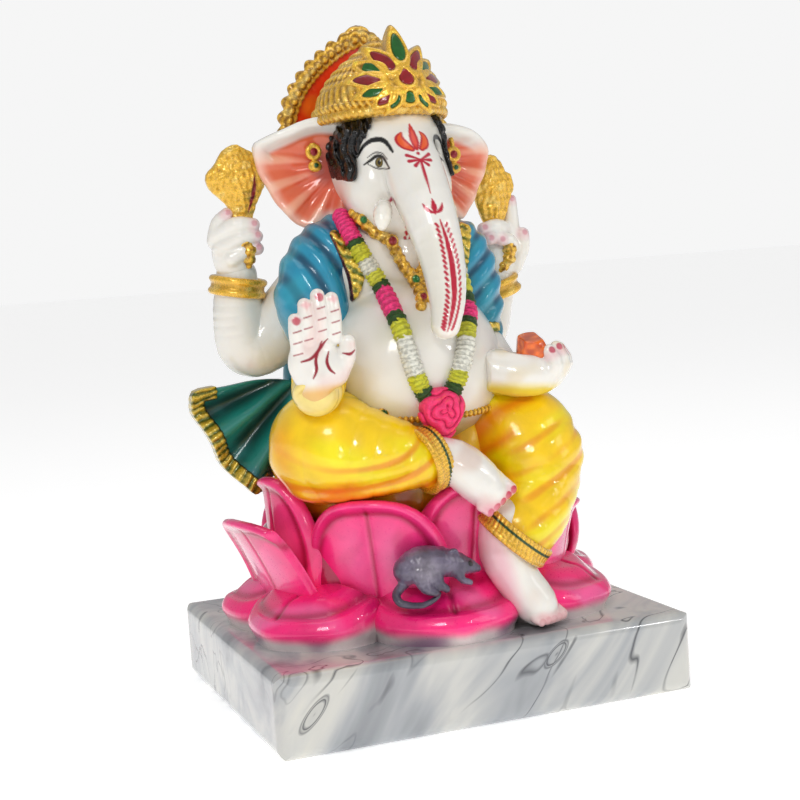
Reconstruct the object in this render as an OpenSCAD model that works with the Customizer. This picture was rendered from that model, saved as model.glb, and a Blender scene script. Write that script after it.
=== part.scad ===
// Seated elephant-headed household idol on a lotus and a marble slab.
// Every sculpted element is its own solid. They meet face to face, as the bonded casting does.
// Millimetres, +Z up, the figure faces -Y, the origin is the centre of the slab's base.

/* [Slab] */
// Slab width, side to side
slab_w = 140; // [130:1:150]
// Slab depth, front to back
slab_d = 121; // [112:1:130]
// Slab thickness
slab_h = 26; // [22:1:30]
// Radius of the slab's upright corners
slab_corner_r = 5; // [3:0.5:8]
// Radius of the slab's long edges
slab_edge_r = 3.5; // [2:0.5:5]

/* [Lotus] */
// Height of the lotus seat above the floor
seat_z = 63; // [60:0.5:66]
// Half width of the ring that the low petals' tips reach
lotus_rx = 68; // [62:1:69]
// Half depth of the ring that the low petals' tips reach
lotus_ry = 56; // [50:1:58]
// How far the upright petals stand in, as a share of that ring's half depth
upright_in = 0.84; // [0.80:0.02:0.90]
// Petal thickness at the middle
petal_t = 6; // [4:0.5:7]

/* [Figure] */
// Sideways place of the figure's middle
mid_x = -4; // [-6:0.5:0]
// Height of the belly's centre
belly_z = 109; // [106:0.5:112]
// Height of the head's centre
head_z = 176; // [173:0.5:179]
// Trunk radius where it leaves the face
trunk_r = 9.5; // [8.5:0.5:10.5]
// Upper-arm radius of the rear arms
arm_r = 9; // [8:0.5:10]

/* [Finish] */
// Facets round the large forms
body_fn = 18; // [16:2:32]
// Facets round arms and legs
limb_fn = 10; // [8:2:20]
// Facets round fingers, beads and trim
fine_fn = 6; // [6:2:12]

/* [Hidden] */
UPPER = 7;
LOWER = 7;

magenta = [0.93, 0.12, 0.52];
skin = [0.96, 0.93, 0.88];
yellow = [0.97, 0.80, 0.10];
gold = [0.80, 0.62, 0.22];
teal = [0.06, 0.50, 0.62];

// Petals: angle round the seat from the front, reach of the tip as a share of the ring,
// height of the tip, half width
upper_petals = [
    [-34, 0.90, 72, 24], [-64, 0.82, 76, 23], [-80, 1.05, 66, 27],
    [4, 0.84, 75, 20], [52, 0.86, 62, 24], [114, 0.92, 60, 28], [-160, 0.90, 70, 34]
];
lower_petals = [
    [-9, 1.01, 28, 25], [-62, 1.02, 29, 24], [-108, 0.99, 32, 21], [-154, 0.98, 30, 23],
    [156, 0.98, 30, 24], [102, 0.98, 31, 21], [48, 1.00, 29, 24]
];
petal_across = 4;
petal_along = 6;

chest_z = 135;
belly_size = [31, 31, 30];
chest_size = [29, 21, 26];
belly_y = -12;
chest_y = -1;
face_x = mid_x - 0.5;
knee_folded = [-38, -25, 88];
knee_hanging = [28, -29, 83];
garland_r = 3.2;
crown_x = face_x - 1.5;
crown_y = -6;
crown_z = 189;
cap_r = 20.2;

// ---------- shared forms ----------

// Ball stretched to half sizes along X, Y and Z
module blob(centre, size, facets = body_fn) {
    hull() translate(centre) scale(size) sphere(r = 1, $fn = facets);
}

// Rounded limb through points, each with its own radius
module limb(points, radii, facets = limb_fn) {
    for (i = [0 : len(points) - 2])
        hull()
            for (k = [i, i + 1])
                translate(points[k]) sphere(r = radii[k], $fn = facets);
}

// Rounded plate whose outline passes through points
module plate(points, radius, facets = limb_fn) {
    hull() for (p = points) translate(p) sphere(r = radius, $fn = facets);
}

// Everything above a height
module above(z) {
    translate([-100, -100, z]) cube([200, 200, 200]);
}

// Rectangle with round corners, centred
module round_rect(w, h, r) {
    square([w - 2 * r, h], center = true);
    square([w, h - 2 * r], center = true);
    for (x = [-1, 1], y = [-1, 1])
        translate([x * (w / 2 - r), y * (h / 2 - r)]) circle(r = r, $fn = 32);
}

// Front surface of the belly and chest at a place seen from the front
function ball_front(x, z, cy, cz, s) =
    let (q = 1 - pow((x - mid_x) / s[0], 2) - pow((z - cz) / s[2], 2)) cy - s[1] * sqrt(max(q, 0));
function body_front(x, z) = min(
    ball_front(x, z, belly_y, belly_z, belly_size),
    ball_front(x, z, chest_y, chest_z, chest_size)
);

// ---------- slab and lotus ----------

module slab() {
    color([0.86, 0.86, 0.86])
        intersection() {
            linear_extrude(slab_h) round_rect(slab_w, slab_d, slab_corner_r);
            translate([0, slab_d, slab_h / 2]) rotate([90, 0, 0])
                linear_extrude(2 * slab_d) round_rect(slab_w, slab_h, slab_edge_r);
            translate([-slab_w, 0, slab_h / 2]) rotate([90, 0, 90])
                linear_extrude(2 * slab_w) round_rect(slab_d, slab_h, slab_edge_r);
        }
}

module core_shape() {
    hull() {
        translate([0, 0, slab_h]) scale([46, 31, 1]) cylinder(r = 1, h = 1, $fn = 32);
        translate([0, 0, 46]) scale([54, 37, 1]) cylinder(r = 1, h = 1, $fn = 32);
        translate([0, 0, seat_z - 1]) scale([53, 36.5, 1]) cylinder(r = 1, h = 1, $fn = 32);
    }
}

module lotus_core() {
    color([0.85, 0.10, 0.45]) core_shape();
}

// Petal sheet: a curve from root to tip, swept across and cupped inwards
function mix(a, b, t) = a * (1 - t) + b * t;
function curve3(a, b, c, t) = mix(mix(a, b, t), mix(b, c, t), t);
function petal_half_width(w, v) = 0.8 + w * sqrt(max(0, 1 - pow(v, 4))) * (0.62 + 0.38 * sin(90 * min(1, 2 * v)));

function petal_point(petal, spine, cup, thick, u, v, side) =
    let (
        a = petal[0],
        out = [lotus_rx * sin(a), -lotus_ry * upright_in * cos(a)],
        far = norm(out),
        dir = out / far,
        across = [-dir[1], dir[0]],
        rz = curve3(spine[0], spine[1], spine[2], v),
        slope = curve3(spine[0], spine[1], spine[2], min(v + 0.02, 1.02)) - rz,
        normal = [slope[1], -slope[0]] / norm(slope),
        w = petal_half_width(petal[3], v),
        lift = -cup * u * u * w + side * thick / 2 * (1 - 0.6 * u * u) * (1 - 0.5 * v),
        r = rz[0] * far + normal[0] * lift,
        xy = dir * r + across * u * w
    )
    [xy[0], xy[1], rz[1] + normal[1] * lift];

// Closed solid between the petal's outer and inner sheets
module petal_solid(petal, spine, cup, thick) {
    n = petal_across;
    m = petal_along;
    row = n + 1;
    count = row * (m + 1);
    points = [for (side = [1, -1], j = [0 : m], i = [0 : n])
        petal_point(petal, spine, cup, thick, -1 + 2 * i / n, j / m, side)];
    outer = [for (j = [0 : m - 1], i = [0 : n - 1])
        let (k = j * row + i) each [[k, k + row, k + 1], [k + 1, k + row, k + row + 1]]];
    inner = [for (f = outer) [f[0] + count, f[2] + count, f[1] + count]];
    ends = [for (j = [0, m], i = [0 : n - 1])
        let (k = j * row + i, flip = j == 0)
        each flip ? [[k, k + 1, k + count], [k + 1, k + 1 + count, k + count]]
                  : [[k + 1, k, k + count], [k + 1, k + count, k + 1 + count]]];
    sides = [for (i = [0, n], j = [0 : m - 1])
        let (k = j * row + i, flip = i == 0)
        each flip ? [[k + row, k, k + count], [k + row, k + count, k + row + count]]
                  : [[k, k + row, k + count], [k + row, k + row + count, k + count]]];
    polyhedron(points, concat(outer, inner, ends, sides));
}

module upper_petal_shape(i) {
    p = upper_petals[i - 1];
    reach = p[1];
    petal_solid(p, [[0.74, 36], [reach + 0.14, 40], [reach, p[2]]], 0.30, petal_t);
}

// Low petal: a thick leaf lying from the seat's foot out to its tip on the slab
module lower_petal_shape(i) {
    p = lower_petals[i - 1];
    out = [lotus_rx * sin(p[0]), -lotus_ry * cos(p[0])];
    far = norm(out);
    rotate([0, 0, atan2(out[1], out[0])])
        hull() {
            translate([0.60 * far, 0, slab_h + 8]) scale([6, 0.8 * p[3], 10]) sphere(r = 1, $fn = limb_fn);
            translate([0.77 * far, 0, slab_h + 7]) scale([7, p[3], 9.5]) sphere(r = 1, $fn = limb_fn);
            translate([p[1] * far - 3, 0, p[2]]) scale([3, 4, 3]) sphere(r = 1, $fn = limb_fn);
        }
}

// Petals keep to their own sector, so that neighbours butt instead of crossing
module sector(petals, i) {
    n = len(petals);
    order = [for (k = [0 : n - 1]) if (k != i - 1) petals[k][0]];
    a = petals[i - 1][0];
    gap_up = min([for (b = order) let (d = (b - a + 720) % 360) d]);
    gap_down = min([for (b = order) let (d = (a - b + 720) % 360) d]);
    far = 3;
    steps = 6;
    hull_angles = [for (k = [0 : steps]) mix(a - gap_down / 2, a + gap_up / 2, k / steps)];
    linear_extrude(100)
        polygon(concat([[0, 0]], [for (t = hull_angles) far * [lotus_rx * sin(t), -lotus_ry * cos(t)]]));
}

module upper_petal(i) {
    color(magenta)
        difference() {
            intersection() {
                upper_petal_shape(i);
                sector(upper_petals, i);
            }
            core_shape();
            folded_leg_shape();
            hanging_leg_shape();
            folded_foot_shape();
            hanging_foot_shape();
            seat_shape();
        }
}

module lower_petal(i) {
    color([0.96, 0.30, 0.62])
        difference() {
            intersection() {
                lower_petal_shape(i);
                sector(lower_petals, i);
                above(slab_h);
            }
            core_shape();
            for (k = [1 : UPPER]) upper_petal_shape(k);
            hanging_foot_shape();
            hanging_leg_shape();
            folded_leg_shape();
        }
}

// ---------- body ----------

module torso_shape() {
    blob([mid_x, belly_y, belly_z], belly_size);
    blob([mid_x, chest_y, chest_z], chest_size);
    limb([[mid_x, -2, 150], [mid_x, -6, 163]], [16, 14], body_fn);
}

module torso() {
    color(skin)
        difference() {
            torso_shape();
            head_shape();
            trunk_shape();
            seat_shape();
        }
}

// Seated hips, wrapped in cloth
module seat_shape() {
    intersection() {
        union() {
            blob([mid_x + 1, 3, 82], [46, 36, 23]);
            blob([mid_x - 14, -10, 80], [24, 24, 19]);
            blob([mid_x + 16, -10, 80], [24, 24, 19]);
        }
        above(seat_z);
    }
}

module seat_cloth() {
    color(yellow)
        difference() {
            seat_shape();
            // the belly rests in the lap
            blob([mid_x, belly_y - 4, belly_z + 4], [29, 29, 22]);
        }
}

module folded_leg_shape() {
    intersection() {
        limb([[-18, -6, 84], knee_folded, [-25, -37, 85], [-13, -43, 83]], [18, 18.5, 13, 9]);
        above(seat_z);
    }
}

module hanging_leg_shape() {
    limb([[14, -8, 84], knee_hanging, [28, -37, 68], [19, -43.5, 57]], [18, 18, 13.5, 11.5]);
}

module folded_leg() {
    color(yellow)
        difference() {
            folded_leg_shape();
            seat_shape();
            torso_shape();
            folded_foot_shape();
        }
}

module hanging_leg() {
    color(yellow)
        difference() {
            hanging_leg_shape();
            seat_shape();
            torso_shape();
            core_shape();
            hanging_foot_shape();
            folded_foot_shape();
        }
}

// Gold hems round both ankles
module hem_ring(centre, lean, radius) {
    translate(centre) rotate(lean)
        rotate_extrude($fn = 32) translate([radius, 0]) scale([1, 2.2]) circle(r = 0.9, $fn = 16);
}

module leg_hems() {
    color(gold) {
        hem_ring([17.5, -44.5, 55.5], [14, 38, 0], 12);
        hem_ring([-11, -44, 83], [10, 76, 20], 9.3);
    }
}

module belt() {
    turns = 22;
    color(gold)
        difference() {
            for (i = [0 : turns - 1])
                hull()
                    for (k = [i, i + 1])
                        let (a = 360 * k / turns)
                        translate([mid_x + 32 * sin(a), -8 - 31 * cos(a), 98 - 3 * cos(a)])
                            sphere(r = 2, $fn = fine_fn);
            torso_shape();
            seat_shape();
            folded_leg_shape();
            hanging_leg_shape();
            palm_arm_shape();
            sweet_arm_shape();
        }
}

// Toes spread in a row from the big toe to the small one
module toes(first, last, along, radius) {
    for (i = [0 : 4])
        let (p = mix(first, last, i / 4), r = mix(radius, radius * 0.68, i / 4))
        limb([p, p + along * (1 - 0.14 * i)], [r, r * 0.9], fine_fn);
}

module folded_foot_shape() {
    limb([[-13, -43.5, 84], [-4, -47.5, 81], [4, -50, 74]], [6.6, 7.4, 7.4]);
    toes([8.5, -51, 75], [1.5, -53.5, 68], [3.6, -0.6, -3.2], 3);
}

module hanging_foot_shape() {
    limb([[13, -43.5, 60], [12, -46, 50], [15.5, -47, 42], [19.5, -48, 35]], [8, 7.8, 7.3, 8]);
    toes([26, -47.5, 31], [18, -54, 30.4], [1.8, -1.6, -1.4], 3);
}

module folded_foot() {
    color(skin)
        difference() {
            folded_foot_shape();
            seat_shape();
        }
}

module hanging_foot() {
    color(skin)
        intersection() {
            hanging_foot_shape();
            above(slab_h);
        }
}

// ---------- head ----------

module head_shape() {
    blob([face_x, -5, head_z + 1], [19, 21, 21]);
    blob([face_x, -15, head_z + 7], [16, 14, 12]);
    blob([face_x, -14, head_z - 11], [16, 14, 14]);
}

module trunk_shape() {
    limb(
        [[face_x, -23, 181], [face_x, -32, 169.5], [mid_x, -41.5, 156.5], [mid_x + 1, -46, 143.5],
         [mid_x + 1, -48, 132.5], [mid_x - 0.5, -49, 124.5]],
        [trunk_r - 0.5, trunk_r, trunk_r - 1.3, trunk_r - 2.6, trunk_r - 3.8, trunk_r - 4.9]
    );
}

module head() {
    color(skin)
        difference() {
            head_shape();
            trunk_shape();
            above(crown_z);
        }
}

module trunk() {
    color(skin) trunk_shape();
}

// Hair at both temples, in front of the ears
module hair() {
    color([0.05, 0.05, 0.06])
        difference() {
            for (s = [-1, 1])
                limb(
                    [[face_x + s * 15, -18, 187], [face_x + s * 18, -13, 182], [face_x + s * 18.6, -10, 176],
                     [face_x + s * 18, -10, 171]],
                    [4.2, 3.8, 3, 2]
                );
            head_shape();
            ear_shape(1);
            ear_shape(-1);
        }
}

module tusk(s) {
    color([0.97, 0.96, 0.92])
        difference() {
            limb(
                [[face_x + s * 10, -25, 163], [face_x + s * 12.5, -33, 160.5], [face_x + s * 13.6, -38, 156.5]],
                [3.8, 3.2, 2]
            );
            head_shape();
            trunk_shape();
        }
}

module tusks() {
    for (s = [-1, 1]) tusk(s);
}

// Wide fan-shaped ear, dished towards the front
module ear_shape(s) {
    k = s < 0 ? 1 : 0.86;
    rim = [[43, 2, 184], [34, 0, 191], [17, -3, 189]];
    hub = [17, -2, 176];
    lobe = [[43, 2, 184], [39, 2, 171], [28, -1, 160], [17, -3, 164]];
    for (edge = [rim, lobe], i = [0 : len(edge) - 2])
        plate([for (p = [hub, edge[i], edge[i + 1]]) [face_x + s * k * p[0], p[1], p[2]]], 2.2, 10);
}

module ear(s) {
    color([0.95, 0.55, 0.42])
        difference() {
            ear_shape(s);
            head_shape();
            cap_shape();
            sleeve_left_shape();
            sleeve_right_shape();
        }
}

module ear_left() {
    ear(-1);
}

module ear_right() {
    ear(1);
}

module earrings() {
    color(gold)
        for (s = [-1, 1])
            let (k = s < 0 ? 1 : 0.86)
            translate([face_x + s * k * 28, -4.6, 174]) {
                rotate([90, 0, 0]) rotate_extrude($fn = 32) translate([3.2, 0]) circle(r = 1.1, $fn = 16);
                translate([0, 0, -7]) rotate([90, 0, 0]) cylinder(r = 2.4, h = 2, $fn = 24, center = true);
            }
}

// ---------- crown ----------

// Turban-shaped cap: a round wall leaning out, then a dome with a small button
module crown_cap() {
    color(gold)
        translate([crown_x, crown_y, crown_z])
            rotate_extrude($fn = 48)
                polygon(concat(
                    [[0, 0], [cap_r - 1.5, 0], [cap_r, 4]],
                    [for (t = [0 : 15 : 75]) [cap_r * pow(cos(t), 0.8), 8 + 17 * sin(t)]],
                    [[4, 26], [2.5, 28.5], [0, 29]]
                ));
}

// Space inside which the cap lies, for trimming its neighbours
module cap_shape() {
    hull() {
        translate([crown_x, crown_y, crown_z]) cylinder(r = cap_r, h = 12, $fn = 32);
        translate([crown_x, crown_y, crown_z + 24]) cylinder(r = 9, h = 4, $fn = 32);
    }
}

// Rolled band round the foot of the crown
module crown_band() {
    color(gold)
        translate([crown_x, crown_y, crown_z + 2.6])
            difference() {
                rotate_extrude($fn = 48) translate([cap_r + 1.4, 0]) circle(r = 2.4, $fn = 24);
                cylinder(r = cap_r, h = 20, center = true, $fn = 48);
            }
}

crest_centre = [crown_x + 0.5, crown_y - cap_r - 2.6, crown_z + 10];
crest_angles = [-78, -52, -26, 0, 26, 52, 78];
function crest_reach(a) = 17 - abs(a) / 26;
function crest_tip(a, r) = crest_centre + r * [sin(a), 0.22 * cos(a) + 0.2 * pow(sin(a), 2), cos(a)];

// Fan of upright lobes at the crown's front
module crown_crest() {
    color(gold)
        difference() {
            for (a = crest_angles)
                hull() {
                    translate(crest_centre) sphere(r = 3.2, $fn = 8);
                    translate(crest_tip(a, crest_reach(a) - 2)) sphere(r = 2.6, $fn = 8);
                }
            cap_shape();
            translate([crown_x, crown_y, crown_z - 5]) cylinder(r = cap_r + 4, h = 10, $fn = 32);
        }
}

// Drop-shaped stones on the lobes, with an oval stone in the middle
module crown_gems() {
    color([0.75, 0.05, 0.08]) {
        for (a = crest_angles)
            hull() {
                translate(crest_tip(a, 7) + [0, -3.2, 0]) sphere(r = 1.0, $fn = fine_fn);
                translate(crest_tip(a, crest_reach(a) - 3.5) + [0, -3.2, 0]) sphere(r = 1.6, $fn = fine_fn);
            }
        blob(crest_centre + [0, -3.8, 0], [3, 1.4, 4], 10);
    }
}

halo_centre = [crown_x + 1, crown_y + cap_r + 3, crown_z];
halo_t = 5;

// Outline of the halo: a pointed arch, grown outwards by a rim width
module halo_outline(grow) {
    hull() {
        translate([0, 26]) circle(r = 2 + grow, $fn = 16);
        for (x = [-1, 1]) {
            translate([x * 14, 12]) circle(r = 6 + grow, $fn = 16);
            translate([x * 15, -4]) circle(r = 10 + grow, $fn = 16);
        }
    }
}

// Upright orange panel behind the cap
module halo_panel() {
    color([0.95, 0.35, 0.10])
        translate(halo_centre) rotate([90, 0, 0])
            linear_extrude(halo_t, center = true) halo_outline(0);
}

// Gold rim round the panel, set with beads, and a knob on top
module halo_rim() {
    beads = [[28.5, 0], [27, 8], [23.5, 15], [17.5, 21], [11.5, 26.5], [5.5, 31]];
    color(gold)
        translate(halo_centre) rotate([90, 0, 0])
            union() {
                linear_extrude(halo_t + 2, center = true)
                    difference() {
                        halo_outline(3.6);
                        halo_outline(0);
                        translate([-50, -70]) square([100, 60]);
                    }
                for (s = [-1, 1], p = beads) blob([s * p[0], p[1], 0], [2.8, 2.8, 3.6], 8);
                blob([0, 32.5, 0], [4, 4.5, 4], 8);
            }
}

// ---------- shawl ----------

module sleeve_left_shape() {
    limb([[-16, -3, 155], [-28, -4, 147], [-32.5, -6, 134], [-32, -9, 121]], [8, 12, 12.5, 11.5]);
}

module sleeve_right_shape() {
    limb([[8, -3, 154], [18, -5, 146], [20.5, -9, 132], [22, -13, 117]], [8, 11, 11, 10.5]);
}

module sleeve_left() {
    color(teal)
        difference() {
            sleeve_left_shape();
            torso_shape();
            head_shape();
        }
}

module sleeve_right() {
    color(teal)
        difference() {
            sleeve_right_shape();
            torso_shape();
            head_shape();
            trunk_shape();
        }
}

// Gold cord along the sleeves' lower and front edges
module sleeve_trim() {
    color(gold)
        difference() {
            union() {
                limb([[-15, -15, 155], [-20, -19, 147], [-21, -22, 136], [-25, -22, 126], [-30, -20, 114]],
                    [1.6, 1.8, 1.8, 1.8, 1.8], fine_fn);
                limb([[9, -14, 153], [13, -18, 143], [15, -22, 130], [17, -24, 118], [23, -22, 109]],
                    [1.6, 1.8, 1.8, 1.8, 1.8], fine_fn);
            }
            sleeve_left_shape();
            sleeve_right_shape();
            torso_shape();
            head_shape();
            trunk_shape();
            palm_arm_shape();
            sweet_arm_shape();
        }
}

// Cape over the shoulders and down the back to the seat
module cape() {
    color(teal)
        difference() {
            union() {
                blob([mid_x, 12, 136], [33, 15, 24]);
                cape_back_shape();
            }
            torso_shape();
            sleeve_left_shape();
            sleeve_right_shape();
            seat_shape();
            head_shape();
            core_shape();
            rear_arm_shape(1);
            rear_arm_shape(-1);
            translate([-100, -100, -34]) cube([200, 200, 100]);
        }
}

tail_root = [-33, 12, 104];
tail_ends = [[-69, 12, 104], [-67, 13, 93], [-62, 14, 84], [-55, 15, 76]];

// Free end of the shawl, three pleats fanned out beside the hip
module tail_shape() {
    for (i = [0 : 2])
        plate([tail_root, tail_root + [2, 2, -22], tail_ends[i], tail_ends[i + 1]], 3.4 - 0.3 * i);
    limb([tail_root + [-3, 0, -4], mix(tail_root, tail_ends[0], 0.9)], [3.6, 4], limb_fn);
    limb([tail_root + [-2, 0, -10], mix(tail_root, tail_ends[1], 0.92)], [3.6, 4], limb_fn);
    limb([tail_root + [0, 0, -15], mix(tail_root, tail_ends[2], 0.94)], [3.6, 4], limb_fn);
}

module shawl_tail() {
    color([0.05, 0.52, 0.48])
        difference() {
            tail_shape();
            seat_shape();
            torso_shape();
            folded_leg_shape();
            cape_back_shape();
            rear_arm_shape(-1);
            for (k = [1 : 3]) upper_petal_shape(k);
        }
}

module cape_back_shape() {
    blob([mid_x, 17, 104], [34, 17, 40]);
}

// Crinkled gold hem down the shawl's free edge
module shawl_hem() {
    waves = 12;
    color(gold)
        difference() {
            for (i = [0 : waves - 1])
                hull()
                    for (k = [i, i + 1])
                        let (
                            t = 3 * k / waves,
                            j = min(floor(t), 2),
                            p = mix(tail_ends[j], tail_ends[j + 1], t - j)
                        )
                        translate(p + [-3, 1.2 * pow(-1, k), 0]) sphere(r = 2, $fn = fine_fn);
            tail_shape();
            for (k = [1 : 3]) upper_petal_shape(k);
        }
}

// ---------- arms and hands ----------

module palm_arm_shape() {
    limb([[-32, -12, 116], [-40, -28, 108], [-46, -43, 107]], [9.5, 8, 6.5]);
}

module sweet_arm_shape() {
    limb([[21, -14, 114], [21, -25, 108], [20, -33, 106.5]], [9, 8, 7]);
}

// Upper and fore arm of a rear arm, bent at the elbow; s is -1 on the left
module rear_arm_shape(s) {
    shoulder = [mid_x + s * 24, 7, 141];
    elbow = s < 0 ? [-50, 14, 119] : [35, 13, 117];
    wrist = s < 0 ? [-53.5, 12, 144] : [40, 11, 136];
    limb([shoulder, mix(shoulder, elbow, 0.55) + [0, 0, 2], elbow, mix(elbow, wrist, 0.5), wrist],
        [arm_r + 2, arm_r + 0.5, arm_r - 0.8, arm_r - 2, arm_r - 3.4]);
}

// Hand with its wrist at the origin: fingers along +Z, palm towards -Y,
// thumb on the s side; bend curls the fingers towards the palm
module hand_shape(s, bend) {
    module finger(x, root, reach, r) {
        mid = [x, -reach * 0.5 * sin(bend), root + reach * 0.5 * cos(bend)];
        tip = mid + reach * 0.5 * [0, -sin(1.7 * bend), cos(1.7 * bend)];
        limb([[x, 0, root], mid, tip], [r, r, r * 0.82], fine_fn);
    }
    blob([0, 0, 7], [8.4, 4.2, 8.6], 12);
    for (i = [0 : 3])
        finger(s * (5.4 - 3.6 * i), 13, [11, 13, 12.4, 9.6][i], [2.2, 2.3, 2.2, 1.9][i]);
    limb([[s * 6, -1, 4], [s * 9, -3, 10], [s * 9.6, -4, 14]], [2.8, 2.4, 1.9], fine_fn);
}

module place_palm_hand() {
    translate([-46.5, -46, 110]) rotate([4, 0, 4]) children();
}

module place_sweet_hand() {
    translate([19, -36, 106]) rotate([80, 0, 72]) rotate([0, 0, 180]) children();
}

module palm_hand_shape() {
    place_palm_hand() hand_shape(1, 4);
}

module sweet_hand_shape() {
    place_sweet_hand() hand_shape(-1, 30);
}

module palm_arm() {
    color(yellow)
        difference() {
            palm_arm_shape();
            sleeve_left_shape();
            torso_shape();
            folded_leg_shape();
            palm_hand_shape();
        }
}

module palm_hand() {
    color(skin) palm_hand_shape();
}

module sweet_arm() {
    color(skin)
        difference() {
            sweet_arm_shape();
            sleeve_right_shape();
            torso_shape();
            hanging_leg_shape();
            seat_shape();
            sweet_hand_shape();
        }
}

module sweet_hand() {
    color(skin)
        difference() {
            sweet_hand_shape();
            hanging_leg_shape();
        }
}

// Cone-shaped sweet with pinched pleats, resting in the cupped hand
module sweet() {
    pleats = 7;
    color([0.90, 0.35, 0.05])
        difference() {
            translate([27.5, -39.5, 109.5])
                linear_extrude(10, scale = 0.15)
                    for (i = [0 : pleats - 1])
                        rotate(360 * i / pleats) translate([3.2, 0]) circle(r = 2.4, $fn = 12);
            sweet_hand_shape();
        }
}

module rear_arm(s) {
    color(skin)
        difference() {
            rear_arm_shape(s);
            torso_shape();
            sleeve_left_shape();
            sleeve_right_shape();
            head_shape();
        }
}

module rear_arm_left() {
    rear_arm(-1);
}

module rear_arm_right() {
    rear_arm(1);
}

module rear_hand_shape(s) {
    at = s < 0 ? [-53.5, 11, 147] : [40, 10, 140];
    translate(at) rotate([6, -4 * s, 14 * s]) scale(0.86) hand_shape(-s, 34);
}

module rear_hand(s) {
    color(skin)
        difference() {
            rear_hand_shape(s);
            rear_arm_shape(s);
        }
}

module rear_hand_left() {
    rear_hand(-1);
}

module rear_hand_right() {
    rear_hand(1);
}

// Triple gold rings round both rear wrists
module bracelets() {
    color(gold)
        for (at = [[-53.2, 12.2, 140, -8], [39.4, 11.2, 132, 14]], k = [-1 : 1])
            translate([at[0], at[1], at[2] + 1.9 * k]) rotate([0, at[3], 0])
                rotate_extrude($fn = 32) translate([8.2, 0]) circle(r = 1.1, $fn = 16);
}

// Gold chain across the back of both rear hands
module hand_chains() {
    color(gold)
        difference() {
            for (s = [-1, 1])
                let (x = s < 0 ? -50 : 36.5, z = s < 0 ? 146 : 139)
                limb([[x, 6.5, z], [x + 1, 4.5, z + 4], [x - 1, 4.5, z + 8], [x - 2, 5.5, z + 11]],
                    [1.6, 1.8, 1.8, 1.4], fine_fn);
            rear_hand_shape(1);
            rear_hand_shape(-1);
        }
}

// Small axe held up by the left rear hand
module axe_ornament() {
    color(gold)
        difference() {
            union() {
                limb([[-51.5, 6, 158], [-51.5, 8, 168], [-50.5, 9, 181]], [2.6, 3.4, 2.6], 8);
                plate([[-52, 8, 166], [-58, 8, 163], [-61, 8, 172], [-57, 8, 180], [-52, 8, 176]], 2.4, 8);
                blob([-50.5, 9, 183], [4, 3.4, 3.6], 8);
                blob([-46, 8, 172], [4, 3, 4.6], 8);
                for (a = [0 : 90 : 270])
                    blob([-53 + 5 * cos(a), 6.4, 172 + 5 * sin(a)], [2.2, 2.6, 2.2], 6);
            }
            rear_hand_shape(-1);
        }
}

// Small closed lotus bud held up by the right rear hand
module lotus_ornament() {
    color(gold)
        difference() {
            union() {
                limb([[38.5, 5, 150], [38.5, 6, 157], [39, 7, 164], [39.4, 7.5, 171], [39.6, 8, 176]],
                    [3, 4.6, 6.6, 5.6, 2], 8);
                for (a = [0 : 60 : 300])
                    blob([39 + 5 * cos(a), 7 + 5 * sin(a), 164], [2.8, 2.8, 5], 6);
            }
            rear_hand_shape(1);
        }
}

// ---------- garland and mouse ----------

// Both strings hang from the neck; the points run down the left side and up the right, as X and Z
garland_line = [
    [-21, 153], [-19, 145], [-16, 136], [-14, 127], [-13, 119], [-11, 111], [-9, 104],
    [-4, 100], [1, 104], [4, 110], [7, 117], [9, 126], [10, 136], [10, 146], [11, 154]
];
necklace_line = [
    [-18, 159], [-14, 155], [-11, 150], [-9, 144], [-7, 137], [-4, 132],
    [0, 137], [3, 144], [6, 151], [10, 157]
];

// Depth of a string at a place seen from the front: on the body, or hanging off the neck
function string_y(x, z, r) = min(body_front(x, z), -10 - 0.35 * (156 - z)) - 0.8 * r;

module string_tube(line, r, facets) {
    path = [for (p = line) [p[0], string_y(p[0], p[1], r), p[1]]];
    limb(path, [for (p = path) r], facets);
}

module garland_tube() {
    string_tube(garland_line, garland_r, 8);
}

module garland() {
    color([0.95, 0.92, 0.85])
        difference() {
            garland_tube();
            torso_shape();
            trunk_shape();
            head_shape();
            sleeve_left_shape();
            sleeve_right_shape();
        }
}

module necklace() {
    color(gold)
        difference() {
            string_tube(necklace_line, 1.9, fine_fn);
            torso_shape();
            trunk_shape();
            head_shape();
            garland_tube();
        }
}

// Rose pendant where the strands meet
module rose() {
    x = -5;
    z = 98;
    color([0.95, 0.18, 0.42])
        difference() {
            translate([x, body_front(x, z) - 3, z]) {
                blob([0, -1, 0], [4, 4, 4], 8);
                for (a = [0 : 60 : 300])
                    blob([4 * cos(a), 0.5, 4 * sin(a)], [3.2, 3, 3.2], 8);
                blob([0, 0, -6], [2.6, 2.4, 3], 8);
            }
            torso_shape();
            folded_foot_shape();
            garland_tube();
        }
}

// Mouse on the front petal, its tail curled round behind it
module mouse() {
    color([0.42, 0.38, 0.46])
        difference() {
            union() {
                limb([[-22, -46.5, 49.5], [-15, -47, 51], [-7, -48, 49.5], [-2, -49, 48]],
                    [5.4, 5.8, 4.2, 2], 8);
                for (y = [-51, -45]) blob([-8, y, 53], [1.8, 1, 1.8], 6);
                for (x = [-20, -6], y = [-51, -45])
                    limb([[x, y, 47], [x + 2.6, y - 0.6, 42]], [2.4, 1.4], fine_fn);
                limb([[-26, -46.5, 48], [-30, -48, 44], [-27, -51, 41], [-19, -53, 39]],
                    [1.6, 1.4, 1.2, 1], fine_fn);
            }
            lower_petal_shape(1);
            core_shape();
            for (k = [1, 4]) upper_petal_shape(k);
        }
}

// ---------- drawing ----------

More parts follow.
